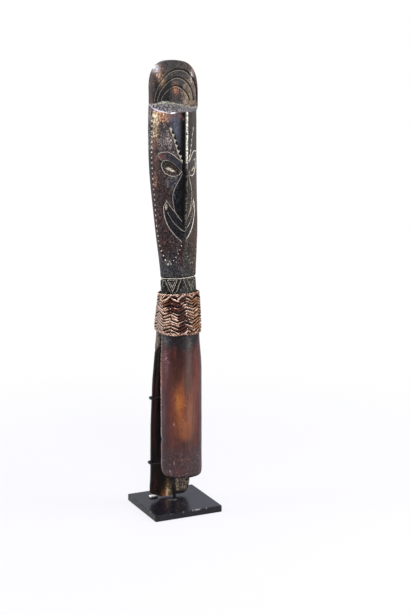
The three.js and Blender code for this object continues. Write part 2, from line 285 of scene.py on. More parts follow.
class Tree:
    """The nodes of a material or of the world."""

    def __init__(self, owner):
        owner.use_nodes = True
        self.owner, self.nodes, self.links = owner, owner.node_tree.nodes, owner.node_tree.links

    def feed(self, to, inputs):
        for key, value in inputs.items():
            if isinstance(value, Value):
                self.links.new(value.socket, to.inputs[key])
            else:
                to.inputs[key].default_value = value

    def add(self, kind, inputs=None, output=0, **settings):
        made = self.nodes.new("ShaderNode" + kind)
        for key, value in settings.items():
            setattr(made, key, value)
        self.feed(made, inputs or {})
        return Value(self, made.outputs[output])

    def read(self, key, output="Fac"):
        return self.add("Attribute", None, output, attribute_name=key)

    def place(self):
        return self.add("TexCoord", None, "Object")

    def ray(self, kind):
        return self.add("LightPath", None, f"Is {kind} Ray")

    def noise(self, scale, detail, roughness=0.55):
        """Noise over object coordinates. scale is patches per metre, all ways or along X, Y and Z."""
        scale = scale if isinstance(scale, tuple) else (scale,) * 3
        mapped = self.add("Mapping", {"Vector": self.place(), "Scale": scale})
        return self.add("TexNoise", {"Vector": mapped, "Scale": 1.0, "Detail": detail,
                                     "Roughness": roughness})

    def mix(self, factor, a, b, blend="MIX"):
        return self.add("Mix", {0: factor, 6: a, 7: b}, 2, data_type="RGBA", blend_type=blend)

    def surface(self, settings, *bumps):
        """Ends a material with its shader's settings and its bumps: height, distance and strength."""
        shader, under = self.nodes["Principled BSDF"], None
        for height, distance, strength in bumps:
            relief = {"Height": height, "Distance": distance, "Strength": strength}
            under = self.add("Bump", {**relief, "Normal": under} if under else relief)
        self.feed(shader, {**settings, "Normal": under})
        return self.owner


def new_tree(name):
    return Tree(bpy.data.materials.new(name))


def wood_material(name, roughness, grain_depth, contrast, specular):
    """Wood that takes its colours, wear and carved lines from its piece's coat."""
    tree = new_tree(name)
    grain, pores = tree.noise((1500, 1500, 75), 5.0), tree.noise((2600, 2600, 420), 2.0)
    patches, flecks = tree.noise((170, 170, 60), 3.0), tree.noise((780, 780, 560), 5.0, 0.7)
    ragged, speckle = tree.noise(1300, 3.0), tree.noise(560, 2.0).remap(0.36, 0.64, -1.0, 1.0)
    wear, dull = tree.read("wear"), tree.read("dull")

    amount = grain.remap(0.25, 0.75, 1 - contrast, 1 + contrast) * patches.remap(0.3, 0.7, 0.84, 1.16)
    amount = amount * pores.remap(0.3, 0.45, 0.82, 1.0) * (speckle * (dull * 1.6) + 1.0)
    bare = (flecks + wear * 0.54).step(0.72, 0.88)
    pits = (flecks - wear * 0.25).step(0.22, 0.36).remap(0.0, 1.0, 0.45, 1.0)
    worn = tree.read("worn", "Color").shade(ragged.remap(0.3, 0.7, 0.8, 1.15))
    colour = tree.mix(bare, tree.read("tint", "Color").shade(amount).shade(pits), worn)

    cut = tree.read("cut") + (ragged - 0.5) * 0.5
    off = abs(cut)
    # Painted shade along each carved line's sides, a painted highlight on its inner lip, and the lime in it
    black = tree.read("groove") * (1.0 - off.step(0.35, 0.85))
    pale = tree.read("lip") * (1.0 - abs(cut + 0.85).step(0.05, 0.36)) * flecks.step(0.36, 0.5)
    white = tree.read("lime") * (1.0 - off.step(0.14, 0.36)) * flecks.step(0.28, 0.44)
    for mask, over in ((black, GROOVE_SHADE), (pale, LIP_HIGHLIGHT), (white, LIME_COLOUR)):
        colour = tree.mix(mask, colour, over)

    gloss = grain.remap(0.3, 0.7, roughness - 0.05, roughness + 0.08)
    gloss = gloss + dull * 0.35 + white * 0.35 + bare * 0.12
    return tree.surface({"Base Color": colour, "Roughness": gloss, "Specular IOR Level": specular},
                        (grain, 0.00025, grain_depth), (pores, 0.0002, grain_depth * 0.8),
                        (1.0 - bare, 0.00012, 0.6), (1.0 - black.most(white), 0.0004, 0.8))


def cane_material():
    tree = new_tree("split cane")
    fibre, blotch = tree.read("fibre"), tree.noise(420, 3.0)
    amount = fibre.remap(0.0, 1.0, 0.72, 1.2) * blotch.remap(0.3, 0.7, 0.5, 1.4)
    return tree.surface({"Base Color": tree.read("tint", "Color").shade(amount),
                         "Roughness": blotch.remap(0.3, 0.7, 0.3, 0.5)}, (fibre, 0.00012, 0.7))


def steel_material():
    """Black satin coating: a little orange peel, fine scuffs and paler rubbed edges."""
    tree = new_tree("black satin steel")
    base = tree.mix(tree.noise(45, 3.0).remap(0.35, 0.65, 0.0, 1.0), COAT_BLACK, COAT_BLUE)
    return tree.surface({"Base Color": tree.mix(tree.read("rubbed"), base, COAT_RUBBED),
                         "Roughness": tree.noise((240, 900, 500), 5.0).remap(0.3, 0.7, 0.2, 0.3)},
                        (tree.noise(900, 2.0), 0.00003, 0.15))


def tube_material():
    tree = new_tree("black shrink tube")
    blotch = tree.noise(900, 3.0)
    return tree.surface({"Base Color": tree.mix(blotch, TUBE_DARK, TUBE_PALE),
                         "Roughness": blotch.remap(0.3, 0.7, 0.4, 0.6)}, (blotch, 0.0001, 0.3))


def felt_material():
    """White felt, darker at the bottom where it meets the plate."""
    tree = new_tree("white felt")
    fuzz = tree.noise(2400, 5.0)
    colour = tree.mix(fuzz.remap(0.35, 0.65, 0.0, 1.0), FELT_SHADE, FELT_WHITE)
    height = tree.add("SeparateXYZ", {"Vector": tree.place()}, "Z")
    upper_part = height.step((PLATE_TOP + 0.6) * MM, (PLATE_TOP + 1.5) * MM)
    return tree.surface({"Base Color": tree.mix(upper_part, FELT_DARK_BOTTOM, colour), "Roughness": 0.95,
                         "Sheen Weight": 0.4}, (fuzz, 0.0003, 0.8))


MATERIALS = {"carved_wood": wood_material("dark palm wood", 0.3, 0.3, 0.16, 0.5),
             "rear_wood": wood_material("dull palm wood", 0.42, 0.6, 0.3, 0.4),
             "cane": cane_material(), "black_steel": steel_material(), "sleeve": tube_material(),
             "pad": felt_material()}

# The carved front piece: sections from the blade's tip to the crest

HEAD_GROWTH = np.array([
    [0, 0, 0, 0], [0.03, 0.02, 0.03, 0.05], [0.08, 0.1, 0.1, 0.2], [0.14, 0.22, 0.18, 0.36],
    [0.22, 0.37, 0.32, 0.49], [0.32, 0.54, 0.47, 0.62], [0.42, 0.67, 0.63, 0.74],
    [0.52, 0.8, 0.79, 0.86], [0.62, 0.91, 0.91, 0.92], [0.72, 0.97, 0.98, 0.96],
    [0.86, 1, 1, 0.99], [0.95, 0.98, 0.98, 1], [1, 0.92, 0.96, 1]])


def shaft_back(z):
    return lerp(SHAFT_BACK, NECK_BACK, np.minimum(1, 1.25 * (z - BAND_LOW) / (NECK - BAND_LOW)))


def front_section(z):
    """Half width, back, wall depth, front, power, hollow and sideways shift of the piece at a level."""
    if z < BAND_LOW:
        rise, span = z - FRONT_TIP, BAND_LOW - FRONT_TIP
        up = ramp(rise, span * 0.72, span)
        t = min(max(rise, 0) / TIP_ROUND, 1)
        narrow = lerp(TIP_SHARE, 1, (1 - (1 - t) ** 3) ** 0.6)
        hollow = BLADE_HOLLOW * (1 - up) * lerp(0.72, 1, ramp(rise, 0, TIP_ROUND))
        return (lerp(BLADE_HALF, SHAFT_HALF, up) * narrow, lerp(BLADE_EDGE_Y, SHAFT_BACK, up),
                lerp(TIP_WALL, SHAFT_WALL, up), BLADE_FRONT, ROUND, hollow, FRONT_SKEW * (1 - t) ** 2)
    if z < NECK:
        t = (z - BAND_LOW) / (NECK - BAND_LOW)
        return (lerp(SHAFT_HALF, NECK_HALF, ramp(t, 0, 1)), shaft_back(z), SHAFT_WALL,
                lerp(BLADE_FRONT, NECK_FRONT, ramp(t, -0.1, 0.95)), ROUND, 0.0, 0.0)
    share = (z - NECK) / (LEDGE - NECK)
    wide, back, front = (np.interp(share, HEAD_GROWTH[:, 0], HEAD_GROWTH[:, c]) for c in (1, 2, 3))
    return (lerp(NECK_HALF, HEAD_HALF, wide), lerp(NECK_BACK, HEAD_BACK, back),
            lerp(SHAFT_WALL, HEAD_WALL, ramp(share, 0, 0.3)), lerp(NECK_FRONT, HEAD_FRONT, front),
            lerp(ROUND, HEAD_FULLNESS, ramp(share, 0, 0.26)), 0.0, 0.0)


def crest_section(share, shift):
    return CREST_HALF * share, CREST_BACK, CREST_WALL, CREST_FRONT, CREST_FULLNESS, 0.0, shift


# Points on a section's flat side are off the crown's scale, and JUST_ABOVE takes a level's own ring with it
FLAT_SIDE, CROWN_LIMIT, JUST_ABOVE = 99.0, 90.0, 0.01


def outline(section, front_steps=171, back_steps=21, facing=-1):
    """A section's points, evenly spaced: across the crown, then back along the flat side. Gives X, Y and
    each crown point's distance from the ridge along the surface."""
    half, flat, wall, crown, power, hollow, shift = section
    edge = min(0.9, half * 0.2, abs(wall) * 0.45)
    a = np.linspace(math.pi / 2, 0, 260)
    x = half * np.maximum(np.cos(a), 0) ** (2 / power)
    y = lerp(flat + facing * wall, crown, np.maximum(np.sin(a), 0) ** (2 / power))
    turn = np.linspace(0, math.pi / 2, 7)
    x = np.r_[x, half - edge + edge * np.cos(turn)]
    y = np.r_[y, flat + facing * edge * (1 - np.sin(turn))]
    length = np.r_[0, np.cumsum(np.hypot(np.diff(x), np.diff(y)))]
    steps = (front_steps - 1) // 2
    s = np.linspace(0, length[-1], steps + 1)
    right_x, right_y = np.interp(s, length, x), np.interp(s, length, y)
    fx = np.r_[-right_x[::-1], right_x[1:]]
    fy = np.r_[right_y[::-1], right_y[1:]]
    fs = np.r_[-s[::-1], s[1:]]
    t = np.linspace(1, -1, back_steps + 2)[1:-1]
    bx = (half - edge) * t
    by = flat + facing * hollow * np.clip(1 - (bx / max(half - 2.2, 0.1)) ** 2, 0, 1)
    return np.r_[fx, bx] - facing * shift, np.r_[fy, by], np.r_[fs, np.full(back_steps, FLAT_SIDE)]


# Carved lines of one half of the face: distance from the ridge along the surface, and height
BORDER = [(37.2, 386), (37.8, 357), (38.4, 348), (38, 339), (36.9, 329), (35.6, 319), (33.4, 307),
          (32.4, 299), (31.6, 288), (30.2, 279), (28, 271), (25, 263), (20.6, 254), (17, 248.6), (12.8, 244)]
FOREHEAD = [(16.6, 371), (13.8, 365.8), (11.6, 358.4), (8.9, 351.2), (5.3, 343.6)]
BROW = [(30.6, 348), (29.4, 349), (26.9, 350), (23.9, 350.6), (19.4, 351), (15.8, 350), (11.9, 347.6),
        (8, 344.4), (5.1, 342)]
EYE_TOP = [(30.6, 348), (29.6, 346.8), (28.1, 345), (26.4, 343.2), (23.5, 343), (19.7, 343), (15.7, 341.8),
           (12.2, 339.6), (8.7, 336.8), (5.5, 333.8)]
EYE_LOW = [(24.9, 342.4), (26.5, 340), (26.7, 337.4), (25, 334), (22.5, 331.2), (18.7, 329.4),
           (14.8, 328.6), (10.9, 329.2), (7.9, 330.6), (5.5, 333)]
PUPIL = [(22.3, 336), (19.7, 337), (15.7, 335.6), (11.4, 333.6), (12.1, 332.9), (15.6, 333), (19.6, 334.4)]
NOSE_SIDE = [(4.9, 331), (6.7, 327), (8.9, 323), (10.8, 319.6), (12.3, 316), (13.4, 312.2), (13.4, 308),
             (12.7, 302.6), (11, 296.4), (8, 292.2), (4.1, 287.6)]
HOOK = [(11, 295.6), (14.8, 299.6), (19.5, 305.6), (21.3, 302.5), (22.3, 299.6), (22.4, 295.4), (21.3, 291),
        (19.4, 286.8), (17.8, 283.4), (15.2, 279.2), (11.6, 275.2), (8.2, 271.8), (3.4, 267.7)]
MOUTH_TOP = [(18, 294.2), (15.8, 290.8), (13.6, 287.6), (9.9, 283.8), (6.4, 280.4), (3.6, 278.2), (0, 276.8)]
CHIN = [(2.4, 265.4), (4.2, 260.4), (6, 256), (8.2, 252.4), (10.8, 248.8), (12.8, 244)]
NECK_RING = [(0, 231.6), (12, 232), (26, 231.6), (34, 231.2)]
ZIGZAG = [(1.4, 230.2), (6, 219.8)], [(5, 230.6), (10, 219.6), (14.6, 230.6), (5, 230.6)], \
         [(7.6, 228.2), (9.9, 223.8), (12, 228.2)], [(17, 230.2), (12.4, 219.8)], \
         [(18.8, 230.4), (23, 219.8), (27.4, 230.4), (18.8, 230.4)], [(29.4, 230.2), (25.4, 219.8)]
ZIGZAG_BARS = [(3.3, 230.4), (8, 219.6)], [(-0.4, 230.4), (3.8, 219.6)], [(15.8, 230.4), (11.2, 219.6)], \
              [(18, 227), (14.8, 219.6)], [(28.4, 230.4), (24.2, 219.6)]
LIME_PATCH = (19.6, 299.8, 1.3, 3.0)
RIGHT_CLOSER, RIGHT_MOUTH_CLOSER = 2.0, 1.8
ARCHES = (14.6, 13.4, 1.55, 0.6), (18.4, 21.0, 1.75, 2.3), (21.6, 28.2, 1.95, 3.6)
ARCH_FOOT = 397.0
SCRATCH = [(-5, 55.4), (-1.8, 56.8), (1.8, 56.2), (3.4, 54.8)]


def near(m, z, line):
    """Distance to a line of points, which side of it, and how far along it."""
    best = np.full(np.shape(m), 1e9)
    side, along = np.zeros_like(best), np.zeros_like(best)
    before = 0.0
    for (x0, z0), (x1, z1) in zip(line, line[1:]):
        dx, dz = x1 - x0, z1 - z0
        length = math.hypot(dx, dz)
        if not length:
            continue
        t = np.clip(((m - x0) * dx + (z - z0) * dz) / length ** 2, 0, 1)
        d = np.hypot(m - x0 - t * dx, z - z0 - t * dz)
        closer = d < best
        best = np.where(closer, d, best)
        side = np.where(closer, np.sign((m - x0) * dz - (z - z0) * dx), side)
        along = np.where(closer, before + t * length, along)
        before += length
    return best, side, along


def inside(m, z, corners):
    """Distance inside a closed shape, negative outside it."""
    within = np.zeros(np.shape(m), bool)
    loop = list(corners) + [corners[0]]
    for (x0, z0), (x1, z1) in zip(loop, loop[1:]):
        if z0 == z1:
            continue
        crosses = (z0 > z) != (z1 > z)
        within ^= crosses & (m < (x1 - x0) * (z - z0) / (z1 - z0) + x0)
    return np.where(within, 1, -1) * near(m, z, loop)[0]


def teeth(along, pitch):
    """0 in the middle of each bite and 1 at each point between two."""
    return np.abs(2 * ((along / pitch) % 1) - 1)


def carve_head(s, z, p):
    """The coat of the head's front, from the distance to the ridge and the height."""
    zz = z + 0.25 * noise(p, 7, 7, 6)
    right_shift = (RIGHT_CLOSER + RIGHT_MOUTH_CLOSER * ramp(z, 314, 302)) * ramp(s, 0, 3) * ramp(s, 36, 24)
    m = np.abs(s) + right_shift + 0.25 * noise(p, 7, 7, 5)
    streak = blotches(p, 1.6, 16, 11)
    patch = blotches(p, 7, 11, 21)
    fine = blotches(p, 1.8, 2.4, 31)
    coat = Coat(len(m), (48, 38, 39), (132, 114, 108), 0.43)
    coat.paint((22, 17, 19), ramp(patch + 0.5 * fine, -0.1, 0.7))

    def area(*corners, edge=1.5):
        return ramp(inside(m, zz, corners), -edge / 2, edge / 2)

    # Broad areas of colour and wear
    forehead = area((46, 388), (26, 388), (26, 381), (16, 371), (11, 357), (6, 346), (26, 351), (46, 352))
    coat.both(forehead, (56, 54, 58), ramp(patch + fine, -0.9, 0.6), (172, 154, 146), 0.5)
    red = ramp(zz, 340, 310) * ramp(zz, 244, 262) * ramp(m, 10, 22)
    coat.both(red, (49, 26, 26), ramp(patch + streak, -0.8, 0.5), (132, 98, 94), 0.42)
    coat.paint((20, 12, 13), red * ramp(streak - fine, 0.3, 1.0) * 0.8)
    ashen = area((4, 332), (16, 329), (22, 322), (13, 312), (12, 300), (8, 324), edge=3)
    coat.both(ashen, (56, 56, 63), ramp(streak + fine, -0.9, 0.5), (122, 121, 126), 0.46)
    coat.both(ramp(zz, 262, 246), (46, 45, 50), 1, (132, 129, 130), 0.44)
    coat.paint((52, 16, 20), oval(s, zz, (-3.2, 250), (2.2, 10)))
    coat.paint((40, 44, 38), oval(s, zz, (2.6, 252), (2, 12)))
    strip = area((36.6, 380), (30.6, 380), (30.2, 340), (31, 318), (35, 318), edge=2.4)
    coat.both(strip, (100, 68, 56), ramp(fine + patch, -0.9, 0.2), (176, 132, 108), 0.44)
    coat.paint((38, 33, 37), ramp(m, 39.4, 40.6))
    top_wear = ramp(z + 4 * patch + 3 * fine, 372, 379) * ramp(m, 13, 19) * ramp(m, 37.2, 35.4)
    top_wear *= np.maximum(ramp(z + 3 * fine, 376, 381), ramp(m, 27, 31))
    coat.paint((150, 96, 66), top_wear * ramp(z, 390, 387) * ramp(fine + patch, -1.2, 0.3))
    coat.rub((238, 208, 172), 0.53, top_wear * ramp(z, 389, 386))
    creamy = ramp(m + 2 * patch, 26, 31) * ramp(m, 37.2, 35.6) * ramp(z + 4 * fine, 360, 370)
    coat.both(creamy * ramp(z, 388, 384), (118, 96, 76), 0.8, (246, 226, 190), 0.62)
    coat.paint((84, 76, 82), ramp(z, 386.5, 389) * ramp(m, 20, 26))

    # The black planes left of the ridge: dark wood darkened with painted shade, with a painted bluish-grey
    # sheen away from the ridge
    brow_plane = area((-2, 388), (20, 388), (18.5, 378), (16, 371), (14.2, 365.8), (11.4, 357.2), (5, 343),
                      (4.2, 331.4), (-2, 331), edge=0.7)
    nose_plane = area((-2, 333), (4.4, 331.4), (12.6, 316), (12.8, 309), (11.6, 298), (4, 287.4), (2, 279),
                      (-2, 278), edge=0.7)
    left_side = ramp(-s, -0.4, 0.4)
    nose_plane *= left_side
    brow_plane *= left_side * lerp(1, ramp(fine + patch, -0.7, 0.3), ramp(m, 11, 16) * ramp(zz, 366, 374))
    black = np.maximum(brow_plane, nose_plane)
    coat.both(black, (8, 7, 10), 1, (70, 72, 84), 0.3)
    # Painted sheen on the black planes, bluish grey away from the ridge
    coat.rub((92, 95, 104), 0.36, nose_plane * ramp(m + 2 * patch, 3, 7))
    coat.paint((78, 80, 94), brow_plane * ramp(m, 4, 10.5) * ramp(zz, 344, 370) * ramp(fine, -1.3, 0.0))
    coat.paint((34, 37, 45), nose_plane * ramp(m, 3, 8) * ramp(streak + fine, -0.4, 0.8) * 0.8)
    coat.paint((112, 76, 66), brow_plane * ramp(zz + 2 * patch, 380, 385) * ramp(fine, -0.2, 0.4))
    mouth = area(*HOOK[2:], *MOUTH_TOP[::-1], edge=0.9)
    lips = area(*HOOK[:3], *MOUTH_TOP, (0, 278), (4, 287.4), edge=0.9)
    coat.paint((24, 24, 31), np.maximum(mouth, lips * 0.85))
    coat.rub((74, 74, 84), 0.3, np.maximum(mouth, lips))
    coat.depth -= 0.9 * mouth + 0.25 * lips

    # Brow and eye
    brow = area(*BROW, *EYE_TOP[::-1], edge=0.8)
    coat.both(brow, (44, 43, 52), 1, (104, 98, 104), 0.36)
    coat.paint((96, 56, 48), 0.9 * brow * ramp(m + 3 * patch, 18, 25) * ramp(fine + 0.5 * patch, -0.5, 0.5))
    coat.depth += 0.35 * brow
    socket = area(*EYE_TOP[3:], *EYE_LOW[::-1][1:], edge=1.0)
    coat.paint((34, 29, 28), socket)
    # The socket's upper part is painted paler, as a painted highlight
    coat.rub((118, 100, 84), 0.42, socket * ramp(zz, 333, 338))
    coat.depth -= 1.2 * socket
    pupil = inside(m, zz, PUPIL)
    coat.paint((8, 7, 7), ramp(pupil, -1.5, -0.5) * socket)
    coat.paint((164, 154, 138), ramp(pupil, -0.5, 0.3))
    coat.paint((196, 188, 170), ramp(pupil, 0.2, 1.3))
    coat.rub((140, 128, 112), 0.3, ramp(pupil, -0.35, 0.3))
    coat.depth += 1.1 * ramp(pupil, -0.6, 0.9)
    x0, z0, rx, rz = LIME_PATCH
    coat.paint((176, 158, 140), 1 - ramp(np.hypot((m - x0) / rx, (zz - z0) / rz), 0.75, 1.1))

    # Lines filled with lime, fainter where they are rubbed
    far = ramp(s, 2, 6)
    for line, lime in ((BROW, 0.66), (EYE_TOP, 0.76), (EYE_LOW, 0.66), (NOSE_SIDE, 0.5), (HOOK, 0.66),
                       (MOUTH_TOP, 0.6)):
        d, side, along = near(m, zz, line)
        rubbed = 0.7 + 0.3 * ramp(noise(np.stack([along] * 3, 1), 5, 5, 7 + len(line)), -0.7, 0.2)
        coat.line(d * side * lerp(1, 0.6, far), lime * rubbed * lerp(1, 1.3, far))
        coat.depth -= 0.5 * bell(d, 0.8) - 0.15 * bell(d - 1.7, 0.7)

    # Toothed lines
    d, side, along = near(m, zz, FOREHEAD)
    reach = np.where(side > 0, 2.5 * teeth(along, 5.1) ** 2.0, 0.05)
    coat.line(np.maximum(d - reach, 0), 0.62, 0.3)
    coat.paint((4, 3, 4), (1 - ramp(d, 2.2, 3.2)) * (side > 0) * 0.9)
    coat.depth += 0.3 * (1 - ramp(d, reach, reach + 0.5))
    for line, pitch, widest in ((BORDER, 4.9, 0.75), (CHIN, 3.9, 0.5)):
        d, side, along = near(m, zz, line)
        size = widest * (0.85 + 0.4 * fine) * lerp(0.8, 1, ramp(zz, 258, 290)) * lerp(1, 0.5, ramp(s, 1, 5))
        across = np.abs(((along / pitch) % 1) - 0.5) * pitch
        dot = np.maximum(np.hypot(d, across * 0.9) - size, 0)
        path = 1 - ramp(d, size * 1.2, size * 1.9)
        coat.paint((13, 11, 13), path * 0.9)
        coat.line(dot, 0.6 + 0.5 * size, 0.0)
        coat.depth -= 0.45 * path - 0.3 * (1 - ramp(dot, 0.0, 0.4))

    coat.rub((206, 192, 184), 0.56, oval(m, zz, (14.5, 247), (4, 3.2)))
    coat.wear *= lerp(1, 0.72 + 0.5 * patch + 0.3 * streak, 0.8)

    # The right flank is brown, and the ridge between it and the black planes is sharp, rubbed and painted
    # pale, whiter higher up as a painted highlight
    flank = ramp(s, 0.2, 1.4) * (1 - np.maximum(mouth, np.maximum(socket, brow)) * 0.8)
    coat.both(flank, (26, 20, 15), ramp(zz, 262, 282) * ramp(z, 389, 386), (100, 84, 64), 0.38)
    low_flank = flank * ramp(s, 6, 12) * ramp(zz, 350, 330)
    coat.paint((52, 36, 29), low_flank * ramp(streak + 0.6 * patch, -0.8, 0.5))
    coat.depth *= lerp(1, 0.3, ramp(s, 0, 2))
    coat.depth += 0.3 * bell(m, 1.2) * ramp(zz, 276, 284)
    rubbed = bell(s, 0.95) * ramp(zz, 270, 284)
    # The ridge is painted pale along its length and whiter higher up: partly rubbed wood, partly a painted
    # highlight
    coat.paint((86, 80, 70), rubbed * 0.7 * ramp(fine, -0.9, 0.3))
    coat.paint((196, 194, 184), rubbed * 1.3 * ramp(zz + 4 * fine, 334, 350) * ramp(fine, -2.4, -0.8))
    coat.tint *= lerp(1, np.array([1.0, 0.95, 0.84]), ramp(s, 1, 5)[:, None])
    coat.dull = np.maximum(0.4 - 0.2 * black, 0.8 * rubbed)
    return coat


def carve_neck(s, z, p):
    m = np.abs(s)
    patch = blotches(p, 7, 11, 21)
    coat = Coat(len(m), (26, 24, 25), (98, 93, 88), 0.38)
    coat.paint((15, 13, 14), ramp(patch, 0, 0.7))
    coat.paint((34, 31, 25), ramp(s, 1, 6))
    faint = 1 - 0.5 * ramp(s, 0, 5)
    for line in ZIGZAG_BARS:
        coat.paint((9, 8, 8), (1 - ramp(near(m, z, line)[0], 0.8, 1.3)) * faint)
    for line in ZIGZAG:
        d, side, _ = near(m, z, line)
        coat.line(d * side * 1.25, 0.56 * faint, 0.6 * faint)
        coat.depth -= 0.4 * bell(d, 0.8)
    d, side, _ = near(m, z, NECK_RING)
    coat.line(d * side, 1.0, 1.0)
    coat.paint((10, 9, 10), 1 - ramp(np.abs(d - 1.3), 0.5, 1.0))
    coat.depth -= 0.8 * bell(d, 1.2)
    coat.dull += 0.34
    return coat


def carve_crest(x, z, p):
    fine = blotches(p, 1.8, 2.4, 31)
    patch = blotches(p, 6, 7, 41)
    coat = Coat(len(x), (50, 46, 46), (122, 108, 100), 0.4)
    coat.paint((30, 27, 30), ramp(patch, -0.1, 0.6))
    reach = np.hypot(x / 23, (z - 400) / 34)
    foot = ramp(z, ARCH_FOOT - 3, ARCH_FOOT + 1)
    right_band = ramp(x, 6, 10) * ramp(z, 421, 412) * ramp(reach, 0.98, 0.9)
    coat.both(right_band, (110, 94, 80), ramp(fine + patch, -1.4, 0.0), (150, 130, 110), 0.42)
    shoulder = ramp(reach, 0.7, 0.9) * ramp(np.abs(x), 8, 12)
    coat.paint((66, 50, 46), shoulder * ramp(patch + fine, -0.6, 0.4))
    coat.rub((164, 132, 114), 0.42, shoulder * ramp(z, 406, 414))
    left_band = ramp(x, -3.5, -6.5) * ramp(x, -21.5, -19.5) * ramp(z, 421, 413)
    coat.both(left_band, (8, 8, 14), 1, (66, 66, 80), 0.3)
    for tint, worn, middle, size in (((120, 90, 66), (186, 150, 108), (-13.4, 415), (3.0, 5)),
                                     ((92, 64, 52), (190, 146, 116), (-16, 421), (2.6, 5))):
        coat.both(oval(x, z, middle, size), tint, 1, worn, 0.56)
    for a, b, power, top_shift in ARCHES:
        lean = top_shift * np.clip((z - ARCH_FOOT) / b, 0, 1)
        x_share, z_share = np.abs(x + 0.4 - lean) / a, np.maximum(z - ARCH_FOOT, 0) / b
        r = (x_share ** power + z_share ** power) ** (1 / power)
        slope = np.hypot(*(np.maximum(share, 1e-3) ** (power - 1) / size
                           for share, size in ((x_share, a), (z_share, b))))
        d = np.clip((r - 1) * np.maximum(r, 0.3) ** (power - 1) / slope, -9, 9)
        # Each arch gets painted shade along its groove and a painted highlight on its inner lip
        coat.line(np.where(foot > 0.5, d, 9.0), 0.0, 0.95, 0.8)
        coat.depth -= (0.6 * bell(d, 0.6) + 0.3 * ramp(-d, -0.2, 0.8)) * foot
    inner = oval(x, z, (0.2, 407), (2.2, 5.0))
    coat.both(inner, (132, 76, 52), 1.2 * ramp(fine + 0.5 * patch, -0.7, 0.3), (170, 112, 80), 0.4)
    coat.paint((98, 58, 46), oval(x, z, (7.5, 404.5), (2, 2.6)))
    gleam = np.maximum(oval(x, z, (-18.6, 428), (2.8, 5.4)), oval(x, z, (16.4, 418), (1.2, 4.2)))
    coat.both(gleam, (150, 142, 152), ramp(fine + patch, -1.0, 0.3), (220, 222, 230), 0.72)
    coat.wear *= lerp(1, 0.8 + 0.6 * patch, 0.7)
    coat.dull += 0.4
    return coat


def carve_ledge(s, z, p):
    """The rough step between the forehead and the crest."""
    grit = blotches(p, 1.3, 1.3, 91)
    coat = Coat(len(s), (56, 54, 58), (164, 158, 162), 0.47)
    coat.paint((34, 32, 36), ramp(grit, 0.0, 0.8))
    coat.depth = 0.22 * grit
    # The left end and the left part of the front edge are painted pale lilac, as a painted highlight
    rim = np.maximum(ramp(z, LEDGE + 2.6, LEDGE + 1.0), 0.8 * ramp(s, -30, -34)) * ramp(s, -19, -25)
    coat.both(rim, (138, 128, 142), 1, (216, 204, 222), 0.6)
    foot = ramp(z + 0.9 * grit, LEDGE_BACK - 2.4, LEDGE_BACK - 0.6)
    coat.both(foot, (98, 96, 88), 0.8, (190, 186, 172), 0.5)
    # A painted white highlight on the front edge, left of the middle
    edge = ramp(z, LEDGE + 1.3, LEDGE + 0.3) * ramp(np.abs(s + 17), 8, 5)
    coat.paint((232, 234, 240), edge)
    coat.paint((28, 16, 14), ramp(z, LEDGE + 1.0, LEDGE + 0.2) * ramp(s, 2, 6))
    coat.dull += 0.7
    return coat


